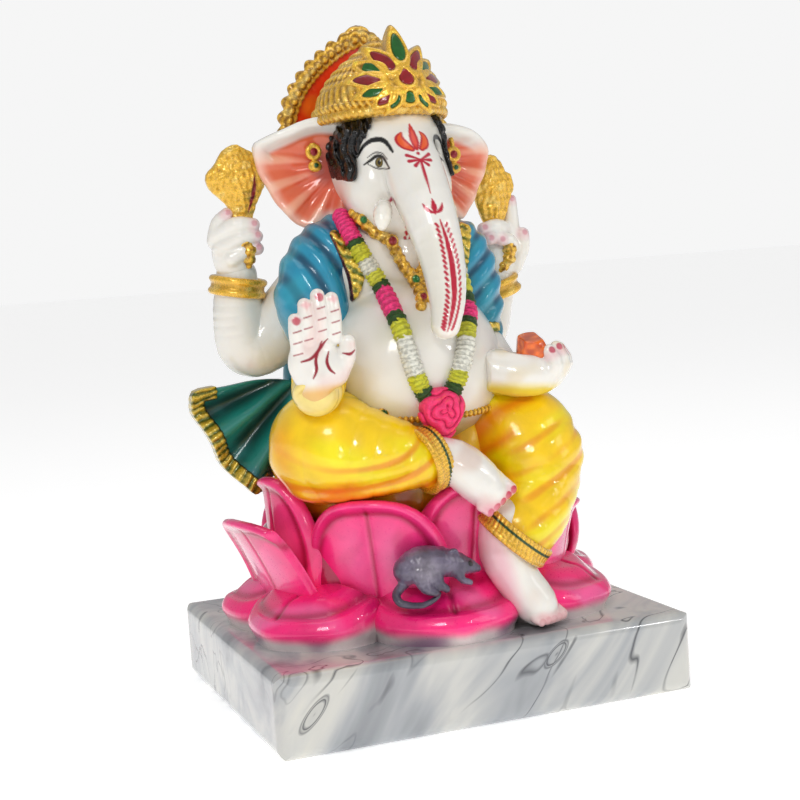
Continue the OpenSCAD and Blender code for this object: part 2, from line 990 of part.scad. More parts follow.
slab();
lotus_core();
for (i = [1 : UPPER]) upper_petal(i);
for (i = [1 : LOWER]) lower_petal(i);
torso();
seat_cloth();
folded_leg();
hanging_leg();
leg_hems();
belt();
folded_foot();
hanging_foot();
head();
hair();
trunk();
tusks();
ear_left();
ear_right();
earrings();
crown_cap();
crown_band();
crown_crest();
crown_gems();
halo_panel();
halo_rim();
sleeve_left();
sleeve_right();
sleeve_trim();
cape();
shawl_tail();
shawl_hem();
palm_arm();
palm_hand();
sweet_arm();
sweet_hand();
sweet();
rear_arm_left();
rear_arm_right();
rear_hand_left();
rear_hand_right();
bracelets();
hand_chains();
axe_ornament();
lotus_ornament();
necklace();
garland();
rose();
mouse();
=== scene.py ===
"""Looks of the seated elephant-headed idol. Every part is a field in design millimetres, measured
from the centre of the slab's underside, and is meshed at its own place over the CAD frame."""

import math
from concurrent.futures import ThreadPoolExecutor

import bpy
import numpy as np
import openvdb
from mathutils import Matrix, Vector


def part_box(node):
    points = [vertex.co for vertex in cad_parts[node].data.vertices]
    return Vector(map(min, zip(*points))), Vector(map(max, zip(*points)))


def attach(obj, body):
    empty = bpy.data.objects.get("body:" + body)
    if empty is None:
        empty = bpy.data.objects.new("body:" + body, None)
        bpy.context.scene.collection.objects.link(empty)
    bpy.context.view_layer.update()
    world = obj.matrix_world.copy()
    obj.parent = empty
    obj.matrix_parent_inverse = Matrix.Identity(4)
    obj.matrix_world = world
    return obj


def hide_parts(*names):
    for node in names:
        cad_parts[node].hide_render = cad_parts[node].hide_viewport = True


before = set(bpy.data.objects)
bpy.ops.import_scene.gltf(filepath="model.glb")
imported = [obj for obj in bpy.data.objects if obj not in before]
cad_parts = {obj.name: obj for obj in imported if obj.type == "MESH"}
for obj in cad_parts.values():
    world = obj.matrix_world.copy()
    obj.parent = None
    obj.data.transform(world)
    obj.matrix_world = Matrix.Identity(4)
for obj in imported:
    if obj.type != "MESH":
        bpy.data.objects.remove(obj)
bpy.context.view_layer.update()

SLAB = [np.array(v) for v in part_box("slab")]
SLAB_WIDE = 140
UNIT = (SLAB[1][0] - SLAB[0][0]) / SLAB_WIDE
ORIGIN = np.array([(SLAB[0][0] + SLAB[1][0]) / 2, (SLAB[0][1] + SLAB[1][1]) / 2, SLAB[0][2]])
SLAB_TOP = (SLAB[1][2] - SLAB[0][2]) / UNIT
COARSE = 1.0
BLOCK = 8
CHUNK = 60000
POOL = ThreadPoolExecutor(4)
FACE_X = -4.5
SIDES = ((-1, "left"), (1, "right"))
FLAT = (1, 0.3, 1)


# ---------------------------------------------------------------- fields

def box(node, grow=0.0):
    """Lowest and highest corner of a CAD node in design millimetres, grown on all sides."""
    lo, hi = ((np.array(v) - ORIGIN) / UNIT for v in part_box(node))
    return lo - grow, hi + grow


def soft(a, b, x):
    """Smooth step from 0 at a to 1 at b; a may be the larger."""
    t = np.clip((x - a) / (b - a), 0, 1)
    return t * t * (3 - 2 * t)


def smin(a, b, k):
    h = np.clip(0.5 + 0.5 * (b - a) / k, 0, 1)
    return b + (a - b) * h - k * h * (1 - h)


def smax(a, b, k):
    return -smin(-a, -b, k)


def length(q):
    return np.sqrt(np.einsum("ij,ij->i", q, q))


def away(p, place, squash=1.0):
    """Distance from a place; squash shortens the distances along each axis."""
    return length((p - np.array(place, np.float32)) * squash)


def nowhere(p):
    """Start of a running smallest distance."""
    return np.full(len(p), 1e9, np.float32)


def ball(p, centre, radii):
    """Signed distance to an ellipsoid."""
    q = p - np.asarray(centre, np.float32)
    r = np.broadcast_to(np.asarray(radii, np.float32), 3)
    k0 = length(q / r)
    return k0 * (k0 - 1) / np.maximum(length(q / (r * r)), 1e-6)


def spline(rows, n, closed=False):
    """Catmull-Rom curve through the rows, sampled at n points."""
    q = np.array(rows, float)
    if closed:
        q = np.vstack([q[-1:], q, q[:2]])
    else:
        q = np.vstack([2 * q[0] - q[1], q, 2 * q[-1] - q[-2]])
    t = np.linspace(0, len(q) - 3, n)
    i = np.minimum(t.astype(int), len(q) - 4)
    u = (t - i)[:, None]
    a, b, c, d = q[i], q[i + 1], q[i + 2], q[i + 3]
    return 0.5 * (2 * b + (c - a) * u + (2 * a - 5 * b + 4 * c - d) * u**2
                  + (3 * b - a - 3 * c + d) * u**3)


def tube(p, rows, n=0, along=False):
    """Distance to a round limb through rows of x, y, z, radius; and how far along, from 0 to 1."""
    q = spline(rows, n or 3 * len(rows) - 2).astype(np.float32)
    best = nowhere(p)
    where = np.zeros(len(p), np.float32)
    for i, (a, b) in enumerate(zip(q[:-1], q[1:])):
        ab = b[:3] - a[:3]
        pa = p - a[:3]
        h = np.clip(pa @ ab / (ab @ ab), 0, 1)
        d = length(pa - h[:, None] * ab) - (a[3] + (b[3] - a[3]) * h)
        if along:
            near = d < best
            where[near] = ((i + h) / (len(q) - 1))[near]
        best = np.minimum(best, d)
    return (best, where) if along else best


def outline(u, v, points, n=36):
    """Signed distance to a smooth closed outline in the plane, negative inside."""
    q = spline(points, n + 1, closed=True).astype(np.float32)
    best = nowhere(u)
    inside = np.zeros(len(u), bool)
    for (au, av), (bu, bv) in zip(q[:-1], q[1:]):
        du, dv = bu - au, bv - av
        pu, pv = u - au, v - av
        h = np.clip((pu * du + pv * dv) / (du * du + dv * dv + 1e-9), 0, 1)
        best = np.minimum(best, (pu - h * du)**2 + (pv - h * dv)**2)
        if av != bv:
            inside ^= ((av > v) != (bv > v)) & (pu < pv * du / dv)
    return np.where(inside, -1, 1) * np.sqrt(best)


def ripple(p, size, seed=0):
    """Cheap smooth noise between about -1 and 1, with lumps of the given size."""
    rng = np.random.RandomState(seed)
    total = np.zeros(len(p), np.float32)
    for _ in range(5):
        way = rng.normal(size=3)
        way *= 2 * math.pi / size / np.linalg.norm(way) * rng.uniform(0.7, 1.4)
        total += np.sin(p @ way.astype(np.float32) + rng.uniform(0, 6.28))
    return total / 3


def mirrored(p, x0=FACE_X):
    q = p.copy()
    q[:, 0] = x0 + np.abs(p[:, 0] - x0)
    return q


# ---------------------------------------------------------------- meshing

def evaluate(field, p):
    parts = np.array_split(p, max(1, len(p) // CHUNK))
    return np.concatenate(list(POOL.map(field, parts)))


def surface(field, lo, hi, step):
    """Vertices and quads of the field's zero level, sampled only in blocks near the surface."""
    count = np.ceil((hi - lo) / (step * BLOCK)).astype(int)
    index = np.stack(np.meshgrid(*[np.arange(c) for c in count], indexing="ij"), -1).reshape(-1, 3)
    middle = (lo + (index * BLOCK + (BLOCK - 1) / 2) * step).astype(np.float32)
    rough = evaluate(field, middle)
    far = 3 * step
    grid = np.where(rough < 0, -far, far).astype(np.float32).reshape(count)
    grid = grid.repeat(BLOCK, 0).repeat(BLOCK, 1).repeat(BLOCK, 2)
    near = index[np.abs(rough) < BLOCK * step * 1.25 + 1.0]
    cell = np.stack(np.meshgrid(*[np.arange(BLOCK)] * 3, indexing="ij"), -1).reshape(-1, 3)
    spots = (near[:, None, :] * BLOCK + cell).reshape(-1, 3)
    value = evaluate(field, (lo + spots * step).astype(np.float32))
    grid[spots[:, 0], spots[:, 1], spots[:, 2]] = np.clip(value, -far, far)
    for side in (0, -1):
        grid[side], grid[:, side], grid[:, :, side] = far, far, far
    volume = openvdb.FloatGrid(far)
    volume.copyFromArray(grid)
    points, _, quads = volume.convertToPolygons(isovalue=0.0, adaptivity=0.0)
    return (lo + points * step).astype(np.float32), quads


def settle(field, p, step):
    """Moves the vertices onto the field's true zero level."""
    e = np.float32(step * 0.4)
    here = evaluate(field, p)
    slope = np.stack([evaluate(field, p + e * axis) - here for axis in np.eye(3, dtype=np.float32)], 1) / e
    move = here / np.maximum(np.einsum("ij,ij->i", slope, slope), 0.3)
    return p - slope * np.clip(move, -step, step)[:, None]


def mesh_object(name, p, quads):
    mesh = bpy.data.meshes.new(name)
    mesh.vertices.add(len(p))
    mesh.vertices.foreach_set("co", (ORIGIN + p * UNIT).astype(np.float32).ravel())
    mesh.loops.add(quads.size)
    mesh.loops.foreach_set("vertex_index", quads.astype(np.int32).ravel())
    mesh.polygons.add(len(quads))
    mesh.polygons.foreach_set("loop_start", np.arange(0, quads.size, 4, dtype=np.int32))
    mesh.polygons.foreach_set("use_smooth", np.ones(len(quads), bool))
    mesh.update(calc_edges=True)
    obj = bpy.data.objects.new(name, mesh)
    bpy.context.scene.collection.objects.link(obj)
    return obj


def normals_of(obj):
    n = np.zeros(len(obj.data.vertices) * 3, np.float32)
    obj.data.vertex_normals.foreach_get("vector", n)
    return n.reshape(-1, 3)


def dress(obj, node, finish, colours):
    """Colours, material, slot and place in the frame of one finished piece."""
    layer = obj.data.attributes.new("Col", "FLOAT_COLOR", "POINT")
    rgba = np.ones((len(colours), 4), np.float32)
    rgba[:, :3] = np.clip(colours, 0, 1)
    layer.data.foreach_set("color", rgba.ravel())
    obj.data.materials.append(finish)
    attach(obj, "root")
    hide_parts(node)
    return obj


def sculpt(node, field, paint, finish, step=0.5, grow=4.0):
    """Meshes a field around a CAD node and puts it in that node's place."""
    lo, hi = box(node, grow)
    step *= COARSE
    p, quads = surface(field, lo, hi, step)
    p = settle(field, p, step)
    obj = mesh_object(node + "_look", p, quads)
    return dress(obj, node, finish, paint(p, normals_of(obj)))


# ---------------------------------------------------------------- colours

def rgb(code):
    c = np.array([int(code[i:i + 2], 16) for i in (0, 2, 4)]) / 255
    return np.where(c > 0.04045, ((c + 0.055) / 1.055)**2.4, c / 12.92).astype(np.float32)


def mix(a, b, t):
    t = np.asarray(t, np.float32)
    return a + (b - a) * (t[:, None] if t.ndim else t)


def tint(c, code, t):
    """Mixes a named colour into the colours so far."""
    return mix(c, rgb(code), t)


def plain(code):
    return lambda p, n: np.tile(rgb(code), (len(p), 1))


def shaded(base, low, valley, lo=-1.0, hi=1.0):
    """Base colour going to the low one where the valley function is low."""
    return lambda p, n: mix(rgb(low), rgb(base), soft(lo, hi, valley(p)))


def stroke(p, rows, edge=0.15):
    """Mask of a brush stroke seen from the front, through rows of x, z, width."""
    q = spline(rows, 4 * len(rows)) if len(rows) > 1 else np.array(rows * 2, float)
    best = nowhere(p)
    for a, b in zip(q[:-1], q[1:]):
        ab = (b - a)[:2]
        pa = p[:, [0, 2]] - a[:2]
        h = np.clip(pa @ ab / (ab @ ab + 1e-9), 0, 1)
        best = np.minimum(best, length(pa - h[:, None] * ab) - (a[2] + (b[2] - a[2]) * h) / 2)
    return soft(edge, -edge, best)


WHITE = rgb("F4F1EA")
CRIMSON = rgb("A00F2C")
GOLD = rgb("F2C244")
# GOLD_LOW: dark gold used as painted shade in the low places of gilt relief and between beads; the earrings
# also mix it in at random.
GOLD_LOW = rgb("A67A1E")


# ---------------------------------------------------------------- materials

def wired(tree, kind, **values):
    node = tree.nodes.new(kind)
    for key, value in values.items():
        if key[0] == "i" and key[1:].isdigit():
            node.inputs[int(key[1:])].default_value = value
        else:
            setattr(node, key, value)
    return node


def noise_node(tree, coords, scale, detail=3.0, warp=0.0):
    node = wired(tree, "ShaderNodeTexNoise")
    tree.links.new(coords, node.inputs["Vector"])
    node.inputs["Scale"].default_value = scale
    node.inputs["Detail"].default_value = detail
    node.inputs["Distortion"].default_value = warp
    return node.outputs["Fac"]


def ranged(tree, value, lo, hi, from_lo=0.3, from_hi=0.7):
    node = wired(tree, "ShaderNodeMapRange", i1=from_lo, i2=from_hi, i3=lo, i4=hi)
    tree.links.new(value, node.inputs[0])
    return node.outputs[0]


def add_bump(tree, shader, height, strength, distance):
    """Bumps the shader by a height and returns the bumped normal."""
    relief = wired(tree, "ShaderNodeBump")
    relief.inputs["Strength"].default_value = strength
    relief.inputs["Distance"].default_value = distance
    tree.links.new(height, relief.inputs["Height"])
    tree.links.new(relief.outputs["Normal"], shader.inputs["Normal"])
    return relief.outputs["Normal"]


def finish_material(name, rough=(0.25, 0.4), coat=1.0, metal=0.0, mottle=(0.92, 1.04),
                    lumps=220.0, grain=1400.0, bump=0.12, skin=0.0, fine=0.15):
    """Painted cast resin under clear lacquer: colour from the sculpt, worn and mottled by noise."""
    mat = bpy.data.materials.new(name)
    mat.use_nodes = True
    tree = mat.node_tree
    shader = tree.nodes["Principled BSDF"]
    coords = wired(tree, "ShaderNodeTexCoord").outputs["Object"]
    colour = wired(tree, "ShaderNodeVertexColor", layer_name="Col").outputs["Color"]
    broad = noise_node(tree, coords, lumps, 4.0, 0.4)
    small = noise_node(tree, coords, grain, 2.0)
    tint = wired(tree, "ShaderNodeMix", data_type="RGBA", blend_type="MULTIPLY")
    tint.inputs["Factor"].default_value = 1.0
    tree.links.new(colour, tint.inputs["A"])
    tree.links.new(ranged(tree, broad, *mottle), tint.inputs["B"])
    tree.links.new(tint.outputs["Result"], shader.inputs["Base Color"])
    tree.links.new(ranged(tree, small, *rough), shader.inputs["Roughness"])
    shader.inputs["Metallic"].default_value = metal
    shader.inputs["Coat Weight"].default_value = coat
    shader.inputs["Coat Roughness"].default_value = 0.04
    shader.inputs["Subsurface Weight"].default_value = skin
    shader.inputs["Subsurface Radius"].default_value = (1.0, 0.9, 0.75)
    shader.inputs["Subsurface Scale"].default_value = 0.002
    height = wired(tree, "ShaderNodeMath", operation="MULTIPLY_ADD", i1=fine)
    tree.links.new(small, height.inputs[0])
    tree.links.new(broad, height.inputs[2])
    relief = add_bump(tree, shader, height.outputs[0], bump, 0.0012)
    tree.links.new(relief, shader.inputs["Coat Normal"])
    return mat


SKIN = finish_material("milky_skin", (0.28, 0.36), mottle=(0.97, 1.01), bump=0.10, lumps=90, skin=0.25)
CLOTH = finish_material("painted_cloth", (0.3, 0.45), mottle=(0.90, 1.06), bump=0.16, lumps=130)
PETAL = finish_material("petal_lacquer", (0.26, 0.4), mottle=(0.9, 1.1), bump=0.14, lumps=110)
GILT = finish_material("gilt_paint", (0.2, 0.36), coat=0.9, metal=0.35, mottle=(0.86, 1.12),
                       bump=0.25, lumps=420, fine=0.3)
GEM = finish_material("gem_enamel", (0.12, 0.22), mottle=(0.8, 1.15), bump=0.1, lumps=500)
HAIR = finish_material("hair_paint", (0.22, 0.36), coat=0.45, mottle=(0.7, 1.2), bump=0.3, lumps=600)
THREAD = finish_material("thread_paint", (0.45, 0.65), coat=0.35, mottle=(0.8, 1.1), bump=0.4,
                         lumps=900, fine=0.5)
FUR = finish_material("mouse_paint", (0.3, 0.45), mottle=(0.75, 1.15), bump=0.25, lumps=500)


def colour_ramp(tree, value, stops):
    """Ramp through places and colours, fed by a value."""
    ramp = wired(tree, "ShaderNodeValToRGB")
    for _ in stops[2:]:
        ramp.color_ramp.elements.new(0.5)
    for stop, (at, colour) in zip(ramp.color_ramp.elements, stops):
        stop.position, stop.color = at, (*colour, 1)
    tree.links.new(value, ramp.inputs[0])
    return ramp.outputs["Color"]


def eye_swirl(tree, coords, place, turn, size, wander):
    """Darkness of one eye-shaped swirl drawn in the stone near a place on its front."""
    frame_node = wired(tree, "ShaderNodeMapping", vector_type="TEXTURE")
    frame_node.inputs["Location"].default_value = tuple(ORIGIN + np.array(place) * UNIT)
    frame_node.inputs["Rotation"].default_value = (0, math.radians(turn), 0)
    frame_node.inputs["Scale"].default_value = tuple(v * float(UNIT) for v in size)
    tree.links.new(coords, frame_node.inputs["Vector"])
    far = wired(tree, "ShaderNodeVectorMath", operation="LENGTH")
    tree.links.new(frame_node.outputs[0], far.inputs[0])
    bent = wired(tree, "ShaderNodeMath", operation="MULTIPLY_ADD", i1=0.5)
    tree.links.new(wander, bent.inputs[0])
    tree.links.new(far.outputs["Value"], bent.inputs[2])
    rings = [(0.20, 0.75), (0.38, 0.12), (0.66, 0.1), (0.76, 0.85), (0.80, 0.2), (0.88, 0.6), (0.96, 0.0)]
    return colour_ramp(tree, bent.outputs[0], [(at, (dark, dark, dark)) for at, dark in rings])


def math_node(tree, operation, first, second):
    """Math node of two inputs; the second is a number or another node's output."""
    node = wired(tree, "ShaderNodeMath", operation=operation)
    tree.links.new(first, node.inputs[0])
    if isinstance(second, (int, float)):
        node.inputs[1].default_value = second
    else:
        tree.links.new(second, node.inputs[1])
    return node.outputs[0]


def slanted(tree, coords):
    """Coordinates turned and drawn out along the veins' slant."""
    turn = wired(tree, "ShaderNodeMapping")
    turn.inputs["Rotation"].default_value = tuple(math.radians(a) for a in (10, -38, 18))
    tree.links.new(coords, turn.inputs["Vector"])
    drawn = wired(tree, "ShaderNodeMapping")
    drawn.inputs["Scale"].default_value = (1.0, 1.0, 0.22)
    tree.links.new(turn.outputs[0], drawn.inputs["Vector"])
    return drawn.outputs[0]


SWIRLS = [((-59, -60, 13.5), -47, (11.5, 22, 3.6)), ((21, -60, 19.5), -42, (8.5, 22, 3.2))]


def marble_veins(tree, coords, slant, cloud):
    """Thin veins in some patches, and the two swirls."""
    swirl = noise_node(tree, slant, 52, 2.0, 0.9)
    off = math_node(tree, "SUBTRACT", swirl, 0.5)
    size = wired(tree, "ShaderNodeMath", operation="ABSOLUTE")
    tree.links.new(off, size.inputs[0])
    vein = ranged(tree, size.outputs[0], 1.0, 0.0, 0.0, 0.02)
    patch = ranged(tree, noise_node(tree, coords, 21, 3.0, 0.6), 0.0, 0.85, 0.42, 0.62)
    veins = math_node(tree, "MULTIPLY", vein, patch)
    for place, turn, reach in SWIRLS:
        veins = math_node(tree, "MAXIMUM", veins, eye_swirl(tree, coords, place, turn, reach, cloud))
    return veins


def marble_material():
    """Cultured marble: cloudy pale grey with dark diagonal veins and two eye-shaped swirls."""
    mat = bpy.data.materials.new("cultured_marble")
    mat.use_nodes = True
    tree = mat.node_tree
    shader = tree.nodes["Principled BSDF"]
    coords = wired(tree, "ShaderNodeTexCoord").outputs["Object"]
    slant = slanted(tree, coords)
    cloud = noise_node(tree, slant, 38, 4.0, 0.8)
    veins = marble_veins(tree, coords, slant, cloud)
    greys = [(0.30, "85898E"), (0.45, "B3B6B9"), (0.56, "D3D3CF"), (0.72, "E2E0D6")]
    stone = colour_ramp(tree, cloud, [(at, rgb(code)) for at, code in greys])
    mixer = wired(tree, "ShaderNodeMix", data_type="RGBA")
    tree.links.new(veins, mixer.inputs["Factor"])
    tree.links.new(stone, mixer.inputs["A"])
    mixer.inputs["B"].default_value = (*rgb("3C3F47"), 1)
    tree.links.new(mixer.outputs["Result"], shader.inputs["Base Color"])
    tree.links.new(ranged(tree, cloud, 0.12, 0.22), shader.inputs["Roughness"])
    shader.inputs["Coat Weight"].default_value = 0.6
    shader.inputs["Coat Roughness"].default_value = 0.05
    add_bump(tree, shader, cloud, 0.08, 0.0015)
    return mat


# ---------------------------------------------------------------- slab and lotus

def build_slab():
    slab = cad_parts["slab"]
    slab.data.materials.clear()
    slab.data.materials.append(marble_material())


def core_field(p):
    x, y, z = p.T
    widen = soft(SLAB_TOP, 46, z)
    r = np.sqrt((x / (46 + 8 * widen))**2 + (y / (31 + 6 * widen))**2)
    return smax((r - 1) * 36, z - 61, 4)


def local(p, angle, rx, ry):
    """Across, outward and up from the point of an ellipse at that angle from the front."""
    a = math.radians(angle)
    c, s = math.cos(a), math.sin(a)
    x, y = p[:, 0] - s * rx, p[:, 1] + c * ry
    return x * c + y * s, x * s - y * c, p[:, 2]


UPPER = [(-34, 0.90, 72, 24), (-80, 0.82, 78, 18), (-77, 1.04, 66, 27), (4, 0.84, 75, 20),
         (52, 0.86, 62, 24), (114, 0.92, 60, 29), (-160, 0.90, 70, 38)]
LOWER = [(-9, 1.01, 28, 25), (-63, 1.02, 29, 24), (-109, 0.99, 32, 21), (-154, 0.98, 30, 23),
         (156, 0.98, 30, 24), (102, 0.98, 31, 21), (48, 1.00, 29, 24)]
LOTUS = (68, 56)
UPRIGHT_FOOT = (50, 34)
UPRIGHT_LOW = 28
LYING_FOOT = (42, 28)


def oval(angle, radii):
    """Length of an ellipse's radius at an angle in degrees from the front."""
    a = math.radians(angle)
    return math.hypot(math.sin(a) * radii[0], math.cos(a) * radii[1])


def leaf_outline(half, notch):
    """Closed outline of a petal from its right half, tip to foot, and the dip between its feet."""
    return [(-u, v) for u, v in half[:0:-1]] + half + [(0, notch)]


UPRIGHT_LEAF = leaf_outline([(0, 1.0), (0.52, 0.95), (0.86, 0.74), (0.95, 0.42), (0.62, 0.0)], -0.08)
LYING_LEAF = leaf_outline([(0, 1.0), (0.42, 0.9), (0.82, 0.68), (1.0, 0.35), (0.9, 0.0)], -0.15)


def upper_parts(p, row):
    """Edge distance, place across, share of the height, distance outward from the sheet's middle,
    rim and middle vein of one upright petal."""
    angle, reach, top, wide = row
    lean = oval(angle, LOTUS) * reach * 0.93
    base = oval(angle, UPRIGHT_FOOT)
    k = base / oval(angle, LOTUS)
    u, w, z = local(p, angle, LOTUS[0] * k, LOTUS[1] * k)
    tall = top - UPRIGHT_LOW
    rise = (z - UPRIGHT_LOW) / tall
    edge = outline(u, z, [(su * wide, UPRIGHT_LOW + sv * tall) for su, sv in UPRIGHT_LEAF])
    out = (lean - base) * np.clip(rise, 0, 1.1)**1.5 - 7.5 * (u / wide)**2 + 1.5
    rim = np.exp(-((edge + 1.6) / 1.7)**2)
    vein = np.exp(-(u / 0.7)**2)
    mid = w - (out + 1.1 * rim - 0.5 * vein * soft(0, -6, edge))
    return edge, u, rise, mid, rim, vein


def upper_field(row):
    def field(p):
        edge, _, _, mid, rim, _ = upper_parts(p, row)
        return smax(edge, np.abs(mid) - (1.5 + 0.7 * rim), 1.6) * 0.85
    return field


def upper_paint(row):
    def paint(p, n):
        edge, u, rise, mid, rim, vein = upper_parts(p, row)
        glow = np.exp(-((np.abs(u) - 6)**2 / 50 + (rise - 0.55)**2 / 0.08))
        c = mix(rgb("FF2488"), rgb("FF74B0"), 0.8 * glow)
        # Painted shade: dark red in the hollow just inside the rim and down the middle vein on the front.
        groove = np.exp(-((edge + 4.2) / 1.1)**2)
        c = tint(c, "A80F3C", 0.75 * groove + 0.6 * vein * soft(0, -5, edge) * (mid > 0))
        # Painted highlight: lighter pink on the raised rim.
        c = tint(c, "FF4E98", 0.6 * rim)
        # Painted shade: darker toward the petal's foot, low among the other petals.
        c = tint(c, "C20E52", 0.6 * soft(0.35, 0.05, rise))
        return tint(c, "D0105C", 0.3 * soft(0.2, 0.8, ripple(p, 14, 3)))
    return paint


def lower_parts(p, row):
    """Edge distance, share of the way out, height, height of the top and middle rib of one lying petal."""
    angle, reach, _, wide = row
    inner = oval(angle, LYING_FOOT)
    k = inner / oval(angle, LOTUS)
    u, w, z = local(p, angle, LOTUS[0] * k, LOTUS[1] * k)
    run = oval(angle, LOTUS) * reach - inner + 2.5
    edge = outline(u, w, [(su * wide, sv * run) for su, sv in LYING_LEAF])
    inward = soft(0, -11, edge)
    out = w / run
    rib = np.exp(-(u / 0.9)**2) * soft(-2, -6, edge)
    rim = np.exp(-((edge + 2.0) / 1.6)**2)
    top = SLAB_TOP + 7.5 + 6.5 * inward + 5 * soft(0.8, 0.0, out) + 1.2 * rim - 0.7 * rib
    return edge, out, z, top, rib


def lower_field(row):
    def field(p):
        edge, _, z, top, _ = lower_parts(p, row)
        under = edge + 2.2 * soft(SLAB_TOP + 6, SLAB_TOP, z)
        return smax(smax(under, (z - top) * 0.8, 2.2), SLAB_TOP - 1 - z, 0.3)
    return field


def lower_paint(row):
    def paint(p, n):
        edge, out, z, top, rib = lower_parts(p, row)
        c = mix(rgb("FF2486"), rgb("FF66A8"), soft(0.1, 0.8, ripple(p, 20, 5)))
        # Painted shade: dark red just inside the rim and along the sunken middle rib.
        c = tint(c, "A01040", 0.65 * np.exp(-((edge + 5.0) / 1.2)**2) + 0.55 * rib)
        # Painted shade: darker toward the inner end, under the upright petals.
        c = tint(c, "8E1350", 0.5 * soft(0.4, 0.0, out))
        drop = top - z
        fade = soft(2.2, 8.0, drop + 0.9 * ripple(p, 16, 6))
        pale = mix(rgb("E2DFDC"), rgb("85738C"), soft(0.0, 1.0, ripple(p, 21, 7)))
        return mix(c, pale, fade * 0.92)
    return paint


def build_lotus():
    sculpt("lotus_core", core_field, plain("B51452"), PETAL, 0.9)
    for i, row in enumerate(UPPER, 1):
        sculpt(f"upper_petal_{i}", upper_field(row), upper_paint(row), PETAL, 0.55, 8)
    for i, row in enumerate(LOWER, 1):
        sculpt(f"lower_petal_{i}", lower_field(row), lower_paint(row), PETAL, 0.55, 8)


# ---------------------------------------------------------------- body

def torso_field(p):
    q = mirrored(p)
    belly = ball(p, (-4, -12, 109), (31, 31, 30))
    chest = smin(ball(p, (-4, -1, 135), (29, 21, 26)), ball(q, (FACE_X + 11, -12, 144), (12, 9, 10)), 7)
    d = smin(belly, chest, 2.5)
    return smin(d, tube(p, [(-4, -2, 150, 16), (-4, -6, 163, 14)]), 8)


def torso_paint(p, n):
    c = mix(WHITE, rgb("E9E6DA"), soft(0.0, 0.9, ripple(p, 26, 8)))
    # Painted shade: a greyish band in the crease under the chest.
    crease = np.exp(-((p[:, 2] - 137.5 - 0.02 * (p[:, 0] + 4)**2) / 1.2)**2)
    c = tint(c, "C9C3A6", 0.5 * crease)
    # Painted shade: olive yellow low on the belly, below its curve and round the belt.
    low = soft(99, 88, p[:, 2] + 0.05 * np.abs(p[:, 0]))
    return tint(c, "B79A34", 0.9 * low)


def cape_fold(p):
    return np.sin(p[:, 0] / 2.3 + 0.5 * np.sin(p[:, 2] / 11))


def cape_field(p):
    d = smin(ball(p, (-4, 12, 136), (33, 15, 24)), ball(p, (-4, 17, 104), (34, 17, 40)), 8)
    d = d - 0.7 * cape_fold(p) * soft(-5, 8, p[:, 1])
    return smax(d, 66 - p[:, 2], 2)


def cape_paint(p, n):
    # Painted shade and highlight: dark teal in the fold valleys, light teal on the crests.
    return mix(rgb("0E5E73"), rgb("2C8FA6"), soft(-1, 1, cape_fold(p)))


def seat_fold(p):
    return np.sin(np.arctan2(p[:, 0] + 3, p[:, 1]) * 17 + p[:, 2] / 9)


def seat_field(p):
    d = ball(p, (-3, 3, 82), (46, 36, 23))
    for x in (-18, 12):
        d = smin(d, ball(p, (x, -10, 80), (24, 24, 19)), 8)
    d = smin(d, ball(p, (-3, -1, 67), (45, 33, 12)), 6)
    return smax(d - 0.5 * seat_fold(p), 61.5 - p[:, 2], 2)


def seat_paint(p, n):
    # Painted shade: orange in the fold valleys; the cloth is also all orange toward the bottom.
    return mix(rgb("E87E12"), rgb("F5C916"), soft(-1.2, 0.6, seat_fold(p)) * soft(62, 74, p[:, 2]))


def folded_fold(p):
    """Folds that sweep in arcs under the knee toward the shin's hem."""
    x, z = p[:, 0] + 31, p[:, 2] - 99
    r = np.sqrt((x * 0.8)**2 + z**2) + 0.16 * x + 0.8 * np.sin(p[:, 0] / 7)
    low = soft(6, -10, z - 0.3 * x)
    return np.sin(r * 2 * math.pi / 6.4 + 0.7) * soft(10, 19, r) * low * (0.75 + 0.25 * ripple(p, 17, 31))


def folded_field(p):
    d = tube(p, [(-18, -6, 84, 18), (-38, -25, 88, 18.5), (-25, -37, 85, 13), (-13, -43, 83, 9)])
    return smax(d - 0.5 * folded_fold(p) - 0.35 * ripple(p, 22, 33), 63 - p[:, 2], 2)


def folded_paint(p, n):
    fold = folded_fold(p)
    c = mix(rgb("FFD800"), rgb("FFEE00"), soft(-0.4, 0.8, ripple(p, 20, 9)))
    # Painted shade: orange in the fold valleys.
    c = tint(c, "F39A05", 0.85 * soft(-0.15, -0.8, fold))
    c = tint(c, "F08A0A", 0.55 * soft(0.55, 1.0, ripple(p, 26, 35)))
    left = soft(-50, -56, p[:, 0]) * 0.4
    return tint(c, "F06A06", np.maximum(left, 0.85 * soft(80, 69, p[:, 2] + 2.5 * ripple(p, 14, 2))))


def hanging_fold(p):
    """Folds that wrap the shin, rising toward the outside of the knee."""
    swing = p[:, 2] - 0.42 * p[:, 0] - 0.014 * (p[:, 0] - 26)**2 + 1.3 * np.sin(p[:, 0] / 6)
    strong = soft(8, 24, p[:, 0]) * soft(95, 86, p[:, 2]) * (0.7 + 0.3 * ripple(p, 15, 34))
    return np.sin(swing * 2 * math.pi / 7.6) * strong


def hanging_field(p):
    d = tube(p, [(14, -8, 84, 18), (28, -29, 83, 18), (28, -37, 68, 13.5), (19, -43.5, 57, 11.5)])
    return d - 0.32 * hanging_fold(p) - 0.35 * ripple(p, 20, 36)


KNEE_SHADES = [[(5, 78, 4), (10, 88, 4), (17, 95, 3), (27, 98, 1)],
               [(4, 70, 3), (9, 80, 3), (18, 88, 1.5)]]


